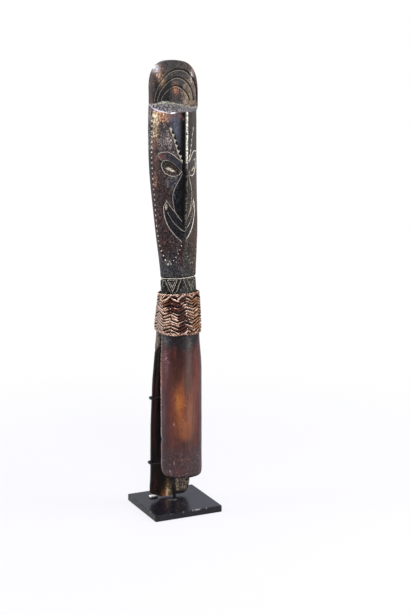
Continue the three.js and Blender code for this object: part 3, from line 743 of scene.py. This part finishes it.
def colour_blade(s, z, p):
    """Polished red-brown, rubbed to orange in the middle of the length, with a painted shadow under the
    band, painted shade along the bottom and painted sheen and highlights on its edges and down the middle.
    """
    streak = blotches(p, 2.2, 34, 51)
    patch = blotches(p, 9, 22, 61)
    fine = blotches(p, 1.5, 3, 71)
    coat = Coat(len(s), (70, 38, 37), (116, 76, 62), 0.24)
    coat.paint((44, 22, 23), ramp(streak + 0.7 * patch, -0.1, 1.0) * 0.8)
    u = s + 1.4 * patch + 0.5 * fine
    v = z + 6 * noise(p, 6, 13, 62) + 1.5 * fine
    # Patches of colour. The mauve ones on the left, at (-20, 149) and (-23.5, 98), are painted sheen; the
    # grey one at (2, 150) and the pinkish-brown one at (4.5, 106) lie under the highlight down the middle
    # and are partly painted highlight
    for tint, middle, reach, amount in (
            ((96, 66, 76), (-20, 149), (3, 16), 0.8), ((76, 56, 68), (-23.5, 98), (3, 26), 0.9),
            ((138, 72, 52), (-26, 143), (2.4, 13), 1.0), ((38, 18, 17), (-7, 157), (7.5, 15), 0.95),
            ((98, 48, 42), (12, 132), (3.4, 42), 0.85), ((100, 50, 46), (-14, 96), (3.5, 26), 0.7),
            ((118, 74, 58), (4.5, 106), (6, 30), 0.95), ((132, 68, 32), (-6, 112), (6.4, 25), 1.1),
            ((150, 90, 36), (-7.5, 113), (2.6, 12), 0.8), ((134, 76, 42), (-2, 88), (6, 5), 0.9),
            ((62, 42, 36), (1, 76), (6, 3.4), 0.9), ((82, 64, 60), (2, 150), (3.2, 24), 0.95),
            ((40, 20, 19), (-8, 138), (4, 9), 0.6), ((96, 42, 28), (-11.5, 162), (1.2, 4), 0.8),
            ((46, 44, 52), (-23, 77), (2.6, 10), 0.8), ((126, 70, 46), (-5.5, 63), (1.8, 4), 0.9),
            ((100, 42, 42), (-15, 44), (8, 4), 0.8)):
        coat.paint(tint, oval(u, v, middle, reach) * amount * ramp(streak + 0.7 * fine, -1.5, 0.0))
    coat.rub((186, 124, 62), 0.34, oval(u, v, (-5, 108), (7, 30)))
    coat.rub((168, 120, 120), 0.46, oval(u, v, (-20, 160), (3, 12)))
    coat.paint((56, 42, 46), ramp(z, 74, 60) * ramp(streak + patch, -1.4, 0.4) * 0.9)
    coat.rub((116, 98, 100), 0.33, ramp(z, 76, 56))
    # Painted shadow of the band over the blade's top, with a painted highlight at its upper left and a grey
    # one down the middle
    band_shadow = ramp(z + 4 * patch + fine - 0.012 * (s + 6) ** 2, 160, 170)
    coat.paint((32, 30, 35), band_shadow * 0.95)
    coat.paint((78, 80, 86), band_shadow * oval(s, z, (-21, 172), (4, 5)) * ramp(fine, -1.0, 0.3))
    coat.paint((74, 74, 72), band_shadow * oval(s, z, (3, 166), (3, 12)))
    # Painted sheen toward the right edge, painted shade along the bottom, and a painted pale highlight along
    # the left edge
    coat.paint((66, 54, 60), ramp(s, 15, 19))
    coat.paint((24, 13, 14), ramp(z, 40.5, 38.5))
    edge = ramp(s, -24.5, -26.8)
    coat.paint((150, 118, 116), edge * ramp(streak + fine, -1.2, 0.4) * ramp(z, 134, 124))
    coat.rub((220, 190, 186), 0.5, edge * ramp(z, 70, 80))
    scratch = bell(near(s, z, SCRATCH)[0], 0.5)
    coat.paint((122, 70, 58), 0.85 * scratch)
    for middle in ((-12.3, 92.5), (-27.2, 76), (-12.4, 53.2), (-16.8, 44.5)):
        coat.paint((196, 180, 176), oval(s, z, middle, (0.5, 0.8)))
    notch = bell(z - 75.7, 1.6) * ramp(s, -22, -26)
    coat.depth = 0.16 * patch + 0.07 * streak - 0.12 * scratch - 0.8 * notch
    coat.dull = 0.3 * ramp(z, 150, 172) + 0.15 * ramp(z, 76, 56)
    return coat


def ring_grid(levels, sections):
    """Rings of points at their levels, and each point's distance from the ridge along the surface."""
    x, y, s = np.moveaxis(np.array(sections), 1, 0)
    return np.stack([x, y, np.broadcast_to(np.array(levels)[:, None], x.shape)], 2), s


def front_piece():
    levels = [*(np.r_[np.linspace(0, 3, 7), np.linspace(4, BAND_LOW - FRONT_TIP, 78)] + FRONT_TIP),
              *np.linspace(BAND_LOW, BAND_HIGH - 1, 10)[1:], *np.linspace(BAND_HIGH - 0.5, NECK, 36),
              *np.linspace(NECK, LEDGE, 291)[1:]]
    sections = [outline(front_section(z)) for z in levels]
    last_head, first_crest = sections[-1], outline(crest_section(1.0, 0.0))
    for t in np.linspace(0, 1, 14)[1:]:
        levels.append(lerp(LEDGE, LEDGE_BACK, t))
        ease = lerp(t, t ** 0.8, 0.5)
        sections.append(tuple(lerp(a, b, ease) for a, b in zip(last_head, first_crest)))
    arc_foot = CREST_TOP - CREST_ARC
    straight = np.linspace(LEDGE_BACK, arc_foot, 30)[1:]
    levels += [*straight]
    sections += [first_crest] * len(straight)
    for t in np.linspace(0, 0.975, 52)[1:]:
        rise, share = (f(t * math.pi / 2) ** CREST_SQUARE for f in (math.sin, math.cos))
        levels.append(arc_foot + CREST_ARC * rise)
        sections.append(outline(crest_section(share, CREST_SKEW * rise)))
    grid, s = ring_grid(levels, sections)
    x, y, z = np.moveaxis(grid.copy(), 2, 0)

    # The ledge is uneven. Its edge climbs at the left corner, and the crest's foot slopes down to the right
    edge_rise = (4.8 * ramp(y, -12, 4) * ramp(-x, 6, 20) - 1.5 * bell(x + 12, 5)
                 + 0.6 * bell(x + 1, 3) - 1.3 * ramp(x, 6, 18))
    foot_rise = 2.6 * bell(x + 11, 8) - 3.6 * ramp(x, -2, 20)
    ledge_share = ramp(z, LEDGE, LEDGE_BACK)
    grid[..., 2] += (edge_rise * (1 - ledge_share) * ramp(z, LEDGE - 18, LEDGE)
                     + foot_rise * ledge_share * (1 - ramp(z, LEDGE_BACK, LEDGE_BACK + 16)))
    level, p, s = z.ravel(), grid.reshape(-1, 3), s.ravel()
    z = p[:, 2]
    streak = blotches(p, 2.0, 30, 81)
    patch = blotches(p, 9, 20, 82)
    coat = Coat(len(p), (44, 31, 29), (92, 66, 54), 0.3)
    coat.paint((74, 52, 44), ramp(streak + 0.6 * patch, 0.0, 0.9) * 0.8)
    coat.depth = 0.12 * patch + 0.06 * streak
    low = 0
    for high, carve in ((BAND_HIGH - 1, colour_blade), (NECK, carve_neck), (LEDGE, carve_head),
                        (LEDGE_BACK, carve_ledge), (np.inf, carve_crest)):
        rows = (np.abs(s) < CROWN_LIMIT) & (level > low) & (level <= high + JUST_ABOVE)
        across = p[rows, 0] if carve is carve_crest else s[rows]
        coat.put(rows, carve(across, (level if carve is carve_ledge else z)[rows], p[rows]))
        low = high + JUST_ABOVE
    wooden_piece("carved_handle", grid, coat, FRONT, "carved_wood", ["front_blade_handle"])


# The rear piece

def rear_rows():
    tip, root_foot, root_top = PLATE_TOP + 2.4, BAND_LOW - 15, BAND_LOW + (BAND_HIGH - BAND_LOW) * 0.86
    top_front = shaft_back(root_top) + CLEARANCE
    foot_front = top_front + 3.8
    shoulder, straight = root_foot - 8, PLATE_TOP + 76
    half, edge, edge_y, root_half, top_half, root_depth = BLADE_HALF, 3.0, 7.6, 18.0, 14.5, 13.0
    back, root_back = edge_y + edge + 4.5, foot_front + root_depth
    top_back = top_front + 4.4

    def bend(t):
        return lerp(straight, shoulder, t)

    return np.array([  # height, half width, front, wall, back, hollow
        [tip, half * 0.72, edge_y + 0.4, edge, back - 1.5, 0.8],
        [tip + 0.7, half * 0.83, edge_y + 0.3, edge, back - 0.8, 1],
        [tip + 2.2, half * 0.91, edge_y + 0.2, edge, back - 0.3, 1.3],
        [tip + 5, half * 0.965, edge_y + 0.1, edge, back, 1.7],
        [tip + 11.2, half, edge_y, edge, back, 2.2],
        [tip + 28, half, edge_y, edge, back, 2.6],
        [straight * 0.72, half, edge_y - 0.5, edge, back - 0.4, 2.6],
        [straight, half, edge_y - 1.4, edge, back - 1.2, 2.6],
        [bend(0.33), half - 0.4, edge_y - 3, edge, back - 2.8, 2.6],
        [bend(0.66), half - 0.8, edge_y - 5.6, edge, back - 5.2, 2.6],
        [shoulder, lerp(half, root_half, 0.5), foot_front + 4, edge, root_back - 0.6, 1.4],
        [root_foot, lerp(half, root_half, 0.7), foot_front, root_depth * 0.5, root_back - 0.2, 0],
        [BAND_LOW, root_half, lerp(foot_front, top_front, 0.25), root_depth * 0.42, root_back, 0],
        [lerp(BAND_LOW, root_top, 0.5), lerp(root_half, top_half, 0.4), lerp(foot_front, top_front, 0.65),
         root_depth * 0.22, lerp(root_back, top_back, 0.5), 0],
        [root_top, top_half, top_front, 1, top_back, 0]])


REAR_ROWS = rear_rows()
TIP_CORNER, TIP_SAG = 2.4, 0.8


def rear_section(z):
    half, flat, wall, crown, hollow = (np.interp(z, REAR_ROWS[:, 0], REAR_ROWS[:, c]) for c in range(1, 6))
    shift = REAR_SKEW * (1 - min((z - REAR_ROWS[0, 0]) / REAR_ROUND, 1)) ** 2
    return half, flat, wall, crown, ROUND, hollow, shift


def rear_piece():
    low, high = REAR_ROWS[0, 0], REAR_ROWS[-1, 0]
    levels = np.r_[low + np.linspace(0, 5, 12), np.linspace(low + 6, high, 150)]
    grid, s = ring_grid(levels, [outline(rear_section(z), 81, 41, facing=1) for z in levels])
    grid[..., 0] *= -1
    x, z = -grid[..., 0], grid[..., 2].copy()

    # The tip sags a little, and its left corner is worn round above the pad
    low_end = 1 - ramp(z, low, low + 15)
    grid[..., 2] += low_end * (TIP_CORNER * ramp(x, 9, 16) - TIP_SAG * bell(x - 4, 8))
    p, z = grid.reshape(-1, 3), z.ravel()
    x, inner = p[:, 0], np.abs(s.ravel()) > CROWN_LIMIT
    streak = blotches(p, 1.8, 28, 101)
    patch = blotches(p, 7, 16, 102)
    fine = blotches(p, 1.3, 6, 103)
    strands = noise(p, 0.9, 14, 104)
    coat = Coat(len(p), (18, 10, 10), (58, 38, 33), 0.3)
    coat.paint((46, 28, 26), ramp(streak + 0.6 * patch, 0.1, 1.0) * 0.8)
    # Painted shade on the inner face, between the blades
    coat.paint((6, 4, 5), inner * ramp(x, -15, -13) * ramp(z, 20, 50) * 0.9)
    # The inner face's left rim is painted lighter, as a lit edge beside that painted shade
    rim = inner * ramp(-x, 14.6, 16.4) * ramp(z, 50, 70) * ramp(streak, -1.2, 0.2)
    coat.paint((62, 30, 29), rim * ramp(z, 150, 120))
    coat.paint((56, 48, 43), rim * ramp(z, 136, 150))
    face = inner * ramp(z, 60, 34)
    coat.paint((30, 18, 16), face * ramp(patch, -0.8, 0.2))
    coat.paint((12, 13, 11), face * oval(x, z, (-9.5, 12), (3, 26)))
    coat.paint((56, 22, 20), face * oval(x, z, (-17, 18), (2.6, 12)) * ramp(patch + fine, -0.8, 0.5))
    coat.paint((132, 70, 30), oval(x, z, (-6.8, 10), (3.0, 6)) * inner * ramp(fine, -1.0, 0.2))
    worn = oval(x - 0.08 * (z - 10), z, (-3.2, 9), (2.6, 10)) * inner
    coat.both(worn, (204, 164, 120), 1.3 * ramp(streak + fine, -0.8, 0.3), (246, 226, 192), 0.56)
    mottle = ramp(x, 2, 5) * ramp(z, 32, 20) * inner
    coat.paint((62, 52, 44), mottle * ramp(fine + patch, -0.9, 0.4))
    coat.paint((132, 114, 96), mottle * ramp(streak + 0.8 * fine, -0.2, 0.8) * ramp(z, 10, 14))
    coat.paint((14, 13, 12), mottle * ramp(z, 13, 10) * 0.8)
    coat.rub((184, 166, 146), 0.44, mottle * ramp(z, 10, 13))
    slant = z + 1.7 * (np.abs(x) - 13)
    root = ramp(slant, BAND_LOW - 10, BAND_LOW - 7)
    coat.both(root, (64, 55, 50), ramp(strands, -0.9, 0.3), (144, 127, 116), 0.5)
    coat.paint((5, 4, 4), root * ramp(x, -15.6, -14.8))
    # Painted shade under the slanted lower end of the root
    root_step_shade = bell(slant - BAND_LOW + 10.5, 1.2)
    coat.paint((6, 5, 5), root_step_shade)
    # The root's front face stays plain, because the front piece lies against it
    relief = 0.14 * patch + 0.08 * streak + inner * 0.15 * fine
    coat.depth = relief * (1 - inner * root) + root * 0.35 * strands * (1 - inner) - 0.4 * root_step_shade
    coat.dull = 0.5 * root + 0.5 * face
    wooden_piece("rear_blade_wood", grid, coat, STAND, "rear_wood", ["rear_blade"])



# The plaited band: one long strand that climbs and falls between the rims, over and under itself

BAND_TURNS, BAND_CYCLES, BAND_COLUMNS, BAND_PHASE = 26, 19, 16, 0.9
STRAND_SIDES, STRAND_THICKNESS, STRAND_STEPS, RIM_STEPS = 10, 0.36, 280, 600
BAND_WALL, BAND_FIT, BAND_SIDE, BAND_BACK, BAND_TILT, BAND_FULL = 1.7, 0.5, 0.4, 4.0, 1.6, 2.6
STRAND_RISE, STRAND_WEAVE, STRAND_BREADTH, SHADE_SHEET_DEPTH = 0.92, 0.52, 0.9, 0.5
RIM_BREADTH, RIM_TONE, RIM_WEAVE = 0.6, 0.55, 0.35


def band_ring(z_share, angles, inset):
    """Points of the band's wall at a share of its height, inset from its outside."""
    z = BAND_LOW + z_share * (BAND_HIGH - BAND_LOW)
    dip = BAND_TILT * (1 - z_share)
    t = (z - dip - BAND_LOW) / (NECK - BAND_LOW)
    outward = BAND_FIT + BAND_WALL - inset
    width = lerp(SHAFT_HALF, NECK_HALF, ramp(t, 0, 1)) + BAND_SIDE + outward
    front = lerp(BLADE_FRONT, NECK_FRONT, ramp(t, -0.1, 0.95)) - outward
    back = np.interp(z, REAR_ROWS[:, 0], REAR_ROWS[:, 4]) + BAND_BACK + outward
    x, y = squared(np.cos(angles), 2 / BAND_FULL), squared(np.sin(angles), 2 / BAND_FULL)
    return np.stack([width * x, (front + back) / 2 + (back - front) / 2 * y, z + dip * np.sin(angles)], -1)


def strand_tube(centre, outward, breadth):
    """A flattened strand along a closed line: its points, and how far each of them faces up."""
    ahead = unit(np.roll(centre, -1, 0) - np.roll(centre, 1, 0))
    outward = unit(outward - (outward * ahead).sum(1, keepdims=True) * ahead)
    across = np.cross(ahead, outward)
    turn = turns(STRAND_SIDES)
    wide, thick = squared(np.cos(turn), 0.6), squared(np.sin(turn), 0.6)
    ring = (centre[:, None] + across[:, None] * (breadth[:, None] * wide)[..., None]
            + outward[:, None] * (STRAND_THICKNESS * thick)[None, :, None])
    return ring.reshape(-1, 3), np.sign(across[:, 2:]) * np.cos(turn)


def strand_tints(centre, upward, tone, under):
    """Colours of a strand from dark red-brown to cream, with a painted highlight along its upper side,
    painted shade along its lower side and where it passes under, and painted light on the band's left.
    """
    x, height, tone = centre[:, :1], centre[:, 2:], tone[:, None]
    right, left, far_left = ramp(x, 1, 8), ramp(-x, 15, 18), ramp(-x, 19.5, 20.7)
    # The band's left is painted lighter, as painted light
    tone = (tone - 0.6 * oval(x, height, (-10, 204), (6.5, 8)) + 0.25 * oval(x, height, (-16, 192), (6, 12))
            - 0.1 + 0.35 * left)
    strand = np.tile(rgb(118, 76, 57), (upward.size, 1))
    for tint, amount in (
            ((70, 33, 25), ramp(0.5 - tone, 0.0, 0.35)), ((196, 156, 132), ramp(tone, 0.6, 1.0)),
            ((142, 98, 66), 0.6 * np.maximum(right, 0.7 * left)),
            ((250, 222, 206), ramp(upward, 0.3, 0.8) * ramp(tone, 0.1, 0.5) * (1 - 0.5 * right)),
            ((30, 14, 10), ramp(-upward, 0.1, 0.85)), ((150, 132, 126), 0.6 * far_left),
            ((14, 8, 6), under[:, None])):
        strand = blend_to(strand, rgb(*tint), np.broadcast_to(amount, upward.shape).ravel())
    return strand


def plaited_band():
    rng = np.random.default_rng(7)
    angles = np.linspace(-math.pi, math.pi, 4001)
    run = run_along(band_ring(0.5, angles, 0.8))
    points, tints, faces = [], [], []

    def wall(share, u):
        """The band's outside at each turn of u, and the way from there into its wall."""
        at = np.interp(np.mod(u, 1.0) * run[-1], run, angles)
        outer = band_ring(share, at, 0.0)
        return outer, band_ring(share, at, 1.0) - outer

    def lay(centre, inward, breadth, tone, under):
        tone = tone + 0.75 * noise(centre, 3.2, 1.4, 131)
        body, upward = strand_tube(centre, -inward, breadth)
        faces.extend(tube_faces(len(centre), STRAND_SIDES, True, sum(map(len, points))))
        points.append(body)
        tints.append(strand_tints(centre, upward, tone, under))

    # Its turns and cycles share no divisor, so it meets its own start only after the last turn
    u = np.arange(STRAND_STEPS * BAND_TURNS) / STRAND_STEPS
    cycle = (u * BAND_CYCLES / BAND_TURNS) % 1.0
    climb = np.abs(2 * cycle - 1)
    share = lerp(1 - climb, 0.5 - 0.5 * np.cos(2 * np.pi * cycle), ramp(np.abs(1 - 2 * climb), 0.84, 1.0))
    share = 0.5 + STRAND_RISE * (share - 0.5)
    outer, inward = wall(share, u)
    column = (u * BAND_COLUMNS + BAND_PHASE + 0.34 * noise(outer, 7, 5, 141)) % 2.0
    over = np.tanh(4.2 * np.sin(math.pi * column)) * np.where(cycle < 0.5, 1, -1)
    rim = ramp(np.minimum(share, 1 - share), 0.04, 0.09)
    centre = outer + inward * (BAND_WALL * 0.5 - STRAND_WEAVE * over * rim)[:, None]
    wander, breadth, tone = (rng.uniform(-1, 1, 257) for _ in range(3))
    centre[:, 2] += 0.75 * rim * np.interp(u * 11 % 256, np.arange(257), wander)
    breadth = STRAND_BREADTH + 0.26 * np.interp(u * 13 % 256, np.arange(257), breadth)
    tone = 0.5 + 0.5 * tone[np.floor(u * BAND_COLUMNS + BAND_PHASE).astype(int) % 256]
    lay(centre, inward, breadth, tone, ramp(-over, -0.6, 0.4))

    # Two strands twisted round each other run along each rim
    u = np.arange(RIM_STEPS) / RIM_STEPS
    for share, twists in ((0.975, 21), (0.025, 23)):
        outer, inward = wall(share, u)
        for half_turn in (0, math.pi):
            twist = 2 * math.pi * twists * u + half_turn
            centre = outer + inward * (BAND_WALL * 0.5 - RIM_WEAVE * np.sin(twist))[:, None]
            centre[:, 2] += 0.5 * np.cos(twist) + 0.3 * noise(centre, 6, 6, 151)
            lay(centre, inward, np.full(RIM_STEPS, RIM_BREADTH), np.full(RIM_STEPS, RIM_TONE),
                ramp(-np.sin(twist), 0.3, 0.9))
    points = np.concatenate(points)
    fibre = np.tile(0.5 + 0.5 * np.cos(3 * turns(STRAND_SIDES)), len(points) // STRAND_SIDES)
    make_piece("plaited_band_strands", points, faces, FRONT, "cane", ["plaited_band"],
               tint=np.concatenate(tints), fibre=fibre)

    # A dark sheet inside the plait, against the wood, standing for the shade between the strands
    around, shares = np.linspace(-math.pi, math.pi, 121)[:-1], np.linspace(0.03, 0.97, 12)
    shell = [band_ring(h, around, BAND_WALL - SHADE_SHEET_DEPTH) for h in shares]
    shell += [band_ring(h, around, BAND_WALL) for h in shares[::-1]]
    shade_sheet = np.concatenate(shell)
    make_piece("plaited_band_shade_sheet", shade_sheet, tube_faces(len(shell), len(around), True), FRONT, "cane",
               tint=np.tile(rgb(14, 9, 7), (len(shade_sheet), 1)), fibre=np.full(len(shade_sheet), 0.5))


# The stand

EDGE_NICKS = (8.8, 2.2, 1.2), (3.6, 1.0, 0.9), (16.4, 1.4, 1.4)
TUBE_SIDES, WIRE_END, SLEEVE_START, HOOK_REACH, WIRE_SUNK = 14, 0.97, 0.68, 1.4, 0.5
PAD_SIDES, PAD_SQUARE = 64, 0.35
PAD_ROWS = (0.6, -1), (0.93, -0.98), (0.99, -0.8), (1.0, 0), (0.99, 0.8), (0.94, 0.97), (0.6, 1), (0.2, 1)


def steel_plate():
    """A square plate with softened edges, a little rubbed and nicked."""
    half, bevel, steps = PLATE_SIDE / 2, 0.5, 72
    side, one = np.linspace(-1, 1, steps + 1)[:-1], np.ones(steps)
    square = np.concatenate([np.c_[side, -one], np.c_[one, side], np.c_[-side, one], np.c_[-one, -side]])
    inner, top = half - bevel, PLATE_TOP - bevel
    quarter = np.linspace(0, math.pi / 2, 5)
    profile = [(half * 0.5, 0.0)]
    profile += [(inner + bevel * math.sin(t), bevel - bevel * math.cos(t)) for t in quarter]
    profile += [(half, z) for z in np.linspace(bevel, top, 6)[1:-1]]
    profile += [(inner + bevel * math.cos(t), top + bevel * math.sin(t)) for t in quarter]
    profile += [(half * w, PLATE_TOP) for w in np.linspace(0.97, 0.04, 56)]
    square *= 1 - 0.006 * ramp(np.abs(square[:, :1] * square[:, 1:]), 0.985, 1.0)
    p = np.concatenate([np.c_[square * reach, np.full(len(square), z)] for reach, z in profile])
    x, y, z = p.T
    chips = blotches(p, 3.2, 3.2, 111)
    top_edge = bell(np.maximum(np.abs(x), np.abs(y)) - half, 0.7) * bell(z - PLATE_TOP, 0.7)
    nicks = sum(amount * bell(x - at, reach) for at, reach, amount in EDGE_NICKS)
    rubbed = top_edge * ramp(chips * (nicks * (y < 0) + 0.3), 0.08, 0.3)
    dust = oval(x, y, (-3.4, 1.2), (2.2, 2.8)) * (z > PLATE_TOP - 0.1)
    rubbed = np.maximum(rubbed, 0.5 * dust * ramp(chips, -0.9, 0.3))
    make_piece("steel_plate", p, tube_faces(len(profile), 4 * steps), STAND, "black_steel", ["base_plate"],
               rubbed=rubbed)


def steel_post():
    """The post, with a small brazed fillet at its foot and a rounded top."""
    fillet, sunk, soft, sides = 1.5, 0.4, 0.8, 24
    profile = [(POST_RADIUS + fillet * (1 - t) ** 2.2, PLATE_TOP - sunk + 1.6 * t)
               for t in np.linspace(0, 1, 7)]
    profile += [(POST_RADIUS, z) for z in np.linspace(PLATE_TOP + 2, POST_TOP - soft, 24)]
    profile += [(POST_RADIUS - soft + soft * math.cos(t), POST_TOP - soft + soft * math.sin(t))
                for t in np.linspace(0, math.pi / 2, 6)[1:]]
    circle = np.c_[np.cos(turns(sides)), np.sin(turns(sides))]
    points = np.concatenate([np.c_[r * circle, np.full(sides, z)] for r, z in profile])
    make_piece("steel_post", points, tube_faces(len(profile), sides), STAND, "black_steel", ["post"],
               rubbed=0.35 * bell(points[:, 2] - PLATE_TOP - sunk, 0.5))


def spline(points, steps):
    """A smooth line through points, closer to them where they lie closer together."""
    p = np.array(points, float)
    p = np.vstack([2 * p[0] - p[1], p, 2 * p[-1] - p[-2]])
    out = []
    for i in range(1, len(p) - 2):
        spans = np.linalg.norm(np.diff(p[i - 1:i + 3], axis=0), axis=1)
        t0, t1, t2, t3 = np.r_[0, np.cumsum(np.sqrt(spans))]
        for t in np.linspace(t1, t2, steps, endpoint=False):
            a1, a2, a3 = (lerp(p[j - 1], p[j], (t - low) / (high - low))
                          for j, low, high in ((i, t0, t1), (i + 1, t1, t2), (i + 2, t2, t3)))
            b1, b2 = lerp(a1, a2, (t - t0) / (t2 - t0)), lerp(a2, a3, (t - t1) / (t3 - t1))
            out.append(lerp(b1, b2, (t - t1) / (t2 - t1)))
    return np.array(out + [p[-2]])


def tube(line, radii):
    ahead = unit(np.gradient(line, axis=0))
    sideways = unit(np.cross([0, 0, 1.0], ahead))
    upward = np.cross(ahead, sideways)
    turn = turns(TUBE_SIDES)
    radii = np.broadcast_to(radii, len(line))[:, None, None]
    return (line[:, None] + radii * (sideways[:, None] * np.cos(turn)[None, :, None]
            + upward[:, None] * np.sin(turn)[None, :, None])).reshape(-1, 3)


def clip(level, side_name, side, height, drop):
    """A wire from the post round the rear blade's edge, with a tube on its hook."""
    z = PLATE_TOP + height
    half, front, wall, back = rear_section(z)[:4]
    off = CLEARANCE + SLEEVE_RADIUS
    reach, before, corner, tip_x = half + off + 0.2, front - off, front + wall, half - HOOK_REACH
    behind = corner + math.sqrt(1 - (tip_x / half) ** 2) * (back - corner) + off + 0.3
    start = POST_RADIUS - WIRE_SUNK
    points = [(start, 0, drop), (lerp(start, half, 0.3), before * 0.15, drop * 0.85),
              (lerp(start, half, 0.7), before * 0.6, drop * 0.4), (half + 0.1, before - 0.1, drop * 0.05),
              (reach, front + 0.2, 0), (reach, lerp(front, corner, 0.8), 0),
              (reach - 0.8, lerp(corner, behind, 0.75), 0), (tip_x, behind, 0)]
    line = spline([(side * x, y, z + up) for x, y, up in points], 12)
    run = run_along(line)
    wire, hook = line[run < WIRE_END * run[-1]], line[run > SLEEVE_START * run[-1]]
    swell = WIRE_RADIUS + 0.9 * bell(run[:len(wire)], 1.3)
    name = f"{level}_{side_name}_"
    make_piece(name + "wire", tube(wire, swell), tube_faces(len(wire), TUBE_SIDES), STAND, "black_steel",
               [name + "clip"], rubbed=np.full(len(wire) * TUBE_SIDES, 0.04))
    ends = np.minimum(np.arange(len(hook)), np.arange(len(hook))[::-1])
    outer = tube(hook, SLEEVE_RADIUS - 0.25 * (ends == 0) - 0.05 * (ends == 1))
    bore = tube(hook, WIRE_RADIUS + 0.05).reshape(-1, TUBE_SIDES, 3)[::-1].reshape(-1, 3)
    make_piece(name + "tube", np.concatenate([outer, bore]), tube_faces(2 * len(hook), TUBE_SIDES, True),
               STAND, "sleeve", [name + "sleeve"])


def felt_pad():
    """A small block of felt, a little squeezed and ragged."""
    low, high = (np.array(corner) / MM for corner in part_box("rest_pad"))
    centre, half = (low + high) / 2, (high - low) / 2
    turn = turns(PAD_SIDES)
    square = squared(np.c_[np.cos(turn), np.sin(turn)], PAD_SQUARE)
    p = np.concatenate([np.c_[square * w, np.full(PAD_SIDES, h)] * half + centre for w, h in PAD_ROWS])
    ragged = noise(p, 0.9, 0.9, 121)
    p[:, :2] -= (p[:, :2] - centre[:2]) * (0.03 + 0.03 * ragged)[:, None]
    make_piece("felt_pad", p, tube_faces(len(PAD_ROWS), PAD_SIDES), STAND, "pad", ["rest_pad"])


front_piece()
rear_piece()
plaited_band()
steel_plate()
steel_post()
for level, height, drop in (("upper", 104.0, 4.5), ("lower", 38.0, 0.0)):
    for side_name, side in (("left", -1), ("right", 1)):
        clip(level, side_name, side, height, drop)
felt_pad()

# Floor, lights and camera

LIT_MIDDLE = Vector((0, 0, 0.22))
CAMERA_PLACE, CAMERA_LENS = Vector((-0.5918, -1.3349, 0.5235)), 91.69
CAMERA_HEADING, CAMERA_PITCH = math.radians(-25.088), math.radians(-12.511)
FLOOR_REACH = 6


def floor_material():
    """Pale floor. Seen directly, it is a white that fades into the background and keeps the shadow."""
    tree = new_tree("pale floor")
    tree.nodes.remove(tree.nodes["Principled BSDF"])
    place = tree.place()
    far = tree.add("VectorMath", {0: place}, "Value", operation="LENGTH").step(0.12, 0.6)
    depth = tree.add("SeparateXYZ", {"Vector": place}, "Y").step(-0.45, 0.1)
    lit = tree.add("BsdfDiffuse", {"Color": FLOOR_LIT})
    glow = tree.add("Emission", {"Color": FLOOR_GLOW, "Strength": 0.8})
    white = tree.add("Emission", {"Color": WHITE, "Strength": 1.0})
    seen = tree.add("MixShader", {0: far, 1: tree.add("AddShader", {0: lit, 1: glow}), 2: white})
    mirrored = tree.add("Emission", {"Color": WHITE,
                                     "Strength": depth.remap(0.0, 1.0, ROOM_GLOSS, BACKDROP_GLOSS)})
    plain = tree.add("BsdfDiffuse", {"Color": FLOOR_PLAIN})
    both = tree.add("MixShader", {0: tree.ray("Camera"), 1: plain, 2: seen})
    all_three = tree.add("MixShader", {0: tree.ray("Glossy"), 1: both, 2: mirrored})
    tree.feed(tree.nodes["Material Output"], {"Surface": all_three})
    return tree.owner


def plain_floor():
    mesh, r = bpy.data.meshes.new("floor"), FLOOR_REACH
    mesh.from_pydata([(-r, -r, 0), (r, -r, 0), (r, r, 0), (-r, r, 0)], [], [(0, 1, 2, 3)])
    mesh.materials.append(floor_material())
    floor = add_object("floor", mesh)


def softbox(name, azimuth, distance, height, size, radiance, mirrored=False):
    """A lamp at an angle from the front toward the right, seen in glossy surfaces only if mirrored."""
    light = bpy.data.lights.new(name, "AREA")
    light.shape, light.size, light.size_y = "RECTANGLE", *size
    light.energy = radiance * math.pi * size[0] * size[1]
    lamp = add_object(name, light)
    turn = math.radians(azimuth)
    lamp.location = Vector((distance * math.sin(turn), -distance * math.cos(turn), height))
    lamp.visible_glossy, lamp.visible_camera = mirrored, False
    lamp.rotation_mode = "QUATERNION"
    lamp.rotation_quaternion = (LIT_MIDDLE - lamp.location).to_track_quat("-Z", "Y")


def studio_world():
    """White where it is seen. Glossy surfaces see the white backdrop behind and a dim room in front."""
    SCENE.world = bpy.data.worlds.new("studio")
    tree = Tree(SCENE.world)
    direction = tree.add("TexCoord", None, "Generated")
    backdrop = tree.add("SeparateXYZ", {"Vector": direction}, "Y").step(-0.1, 0.5)
    gloss = backdrop.remap(0.0, 1.0, ROOM_GLOSS, BACKDROP_GLOSS)
    fill = backdrop.remap(0.0, 1.0, ROOM_FILL, BACKDROP_FILL)
    strength = tree.add("Mix", {0: tree.ray("Glossy"), 2: fill, 3: gloss})
    direct = tree.ray("Camera").most(tree.ray("Transmission"))
    strength = tree.add("Mix", {0: direct, 2: strength, 3: 1.0})
    colour = tree.mix(tree.ray("Glossy"), WHITE, COOL_WHITE)
    tree.feed(tree.nodes["Background"], {"Strength": strength, "Color": colour})


plain_floor()
softbox("left softbox", -101, 1.27, 0.7, (0.5, 1.2), 6.4)
softbox("right softbox", 61, 1.25, 0.7, (0.5, 1.1), 7.5)
softbox("front softbox", -15, 1.35, 1.5, (0.7, 0.7), 10.4)
softbox("top softbox", 0, 0.05, 1.5, (0.8, 0.8), 4.0)
softbox("strip light", 35, 0.55, 0.38, (0.1, 0.72), 3.6, mirrored=True)
studio_world()

camera_data = bpy.data.cameras.new("camera")
camera_data.lens = CAMERA_LENS
camera = add_object("camera", camera_data)
camera.matrix_world = (Matrix.Translation(CAMERA_PLACE) @ Matrix.Rotation(CAMERA_HEADING, 4, "Z")
                       @ Matrix.Rotation(math.pi / 2 + CAMERA_PITCH, 4, "X"))
SCENE.camera = camera
SCENE.view_settings.view_transform = "Standard"
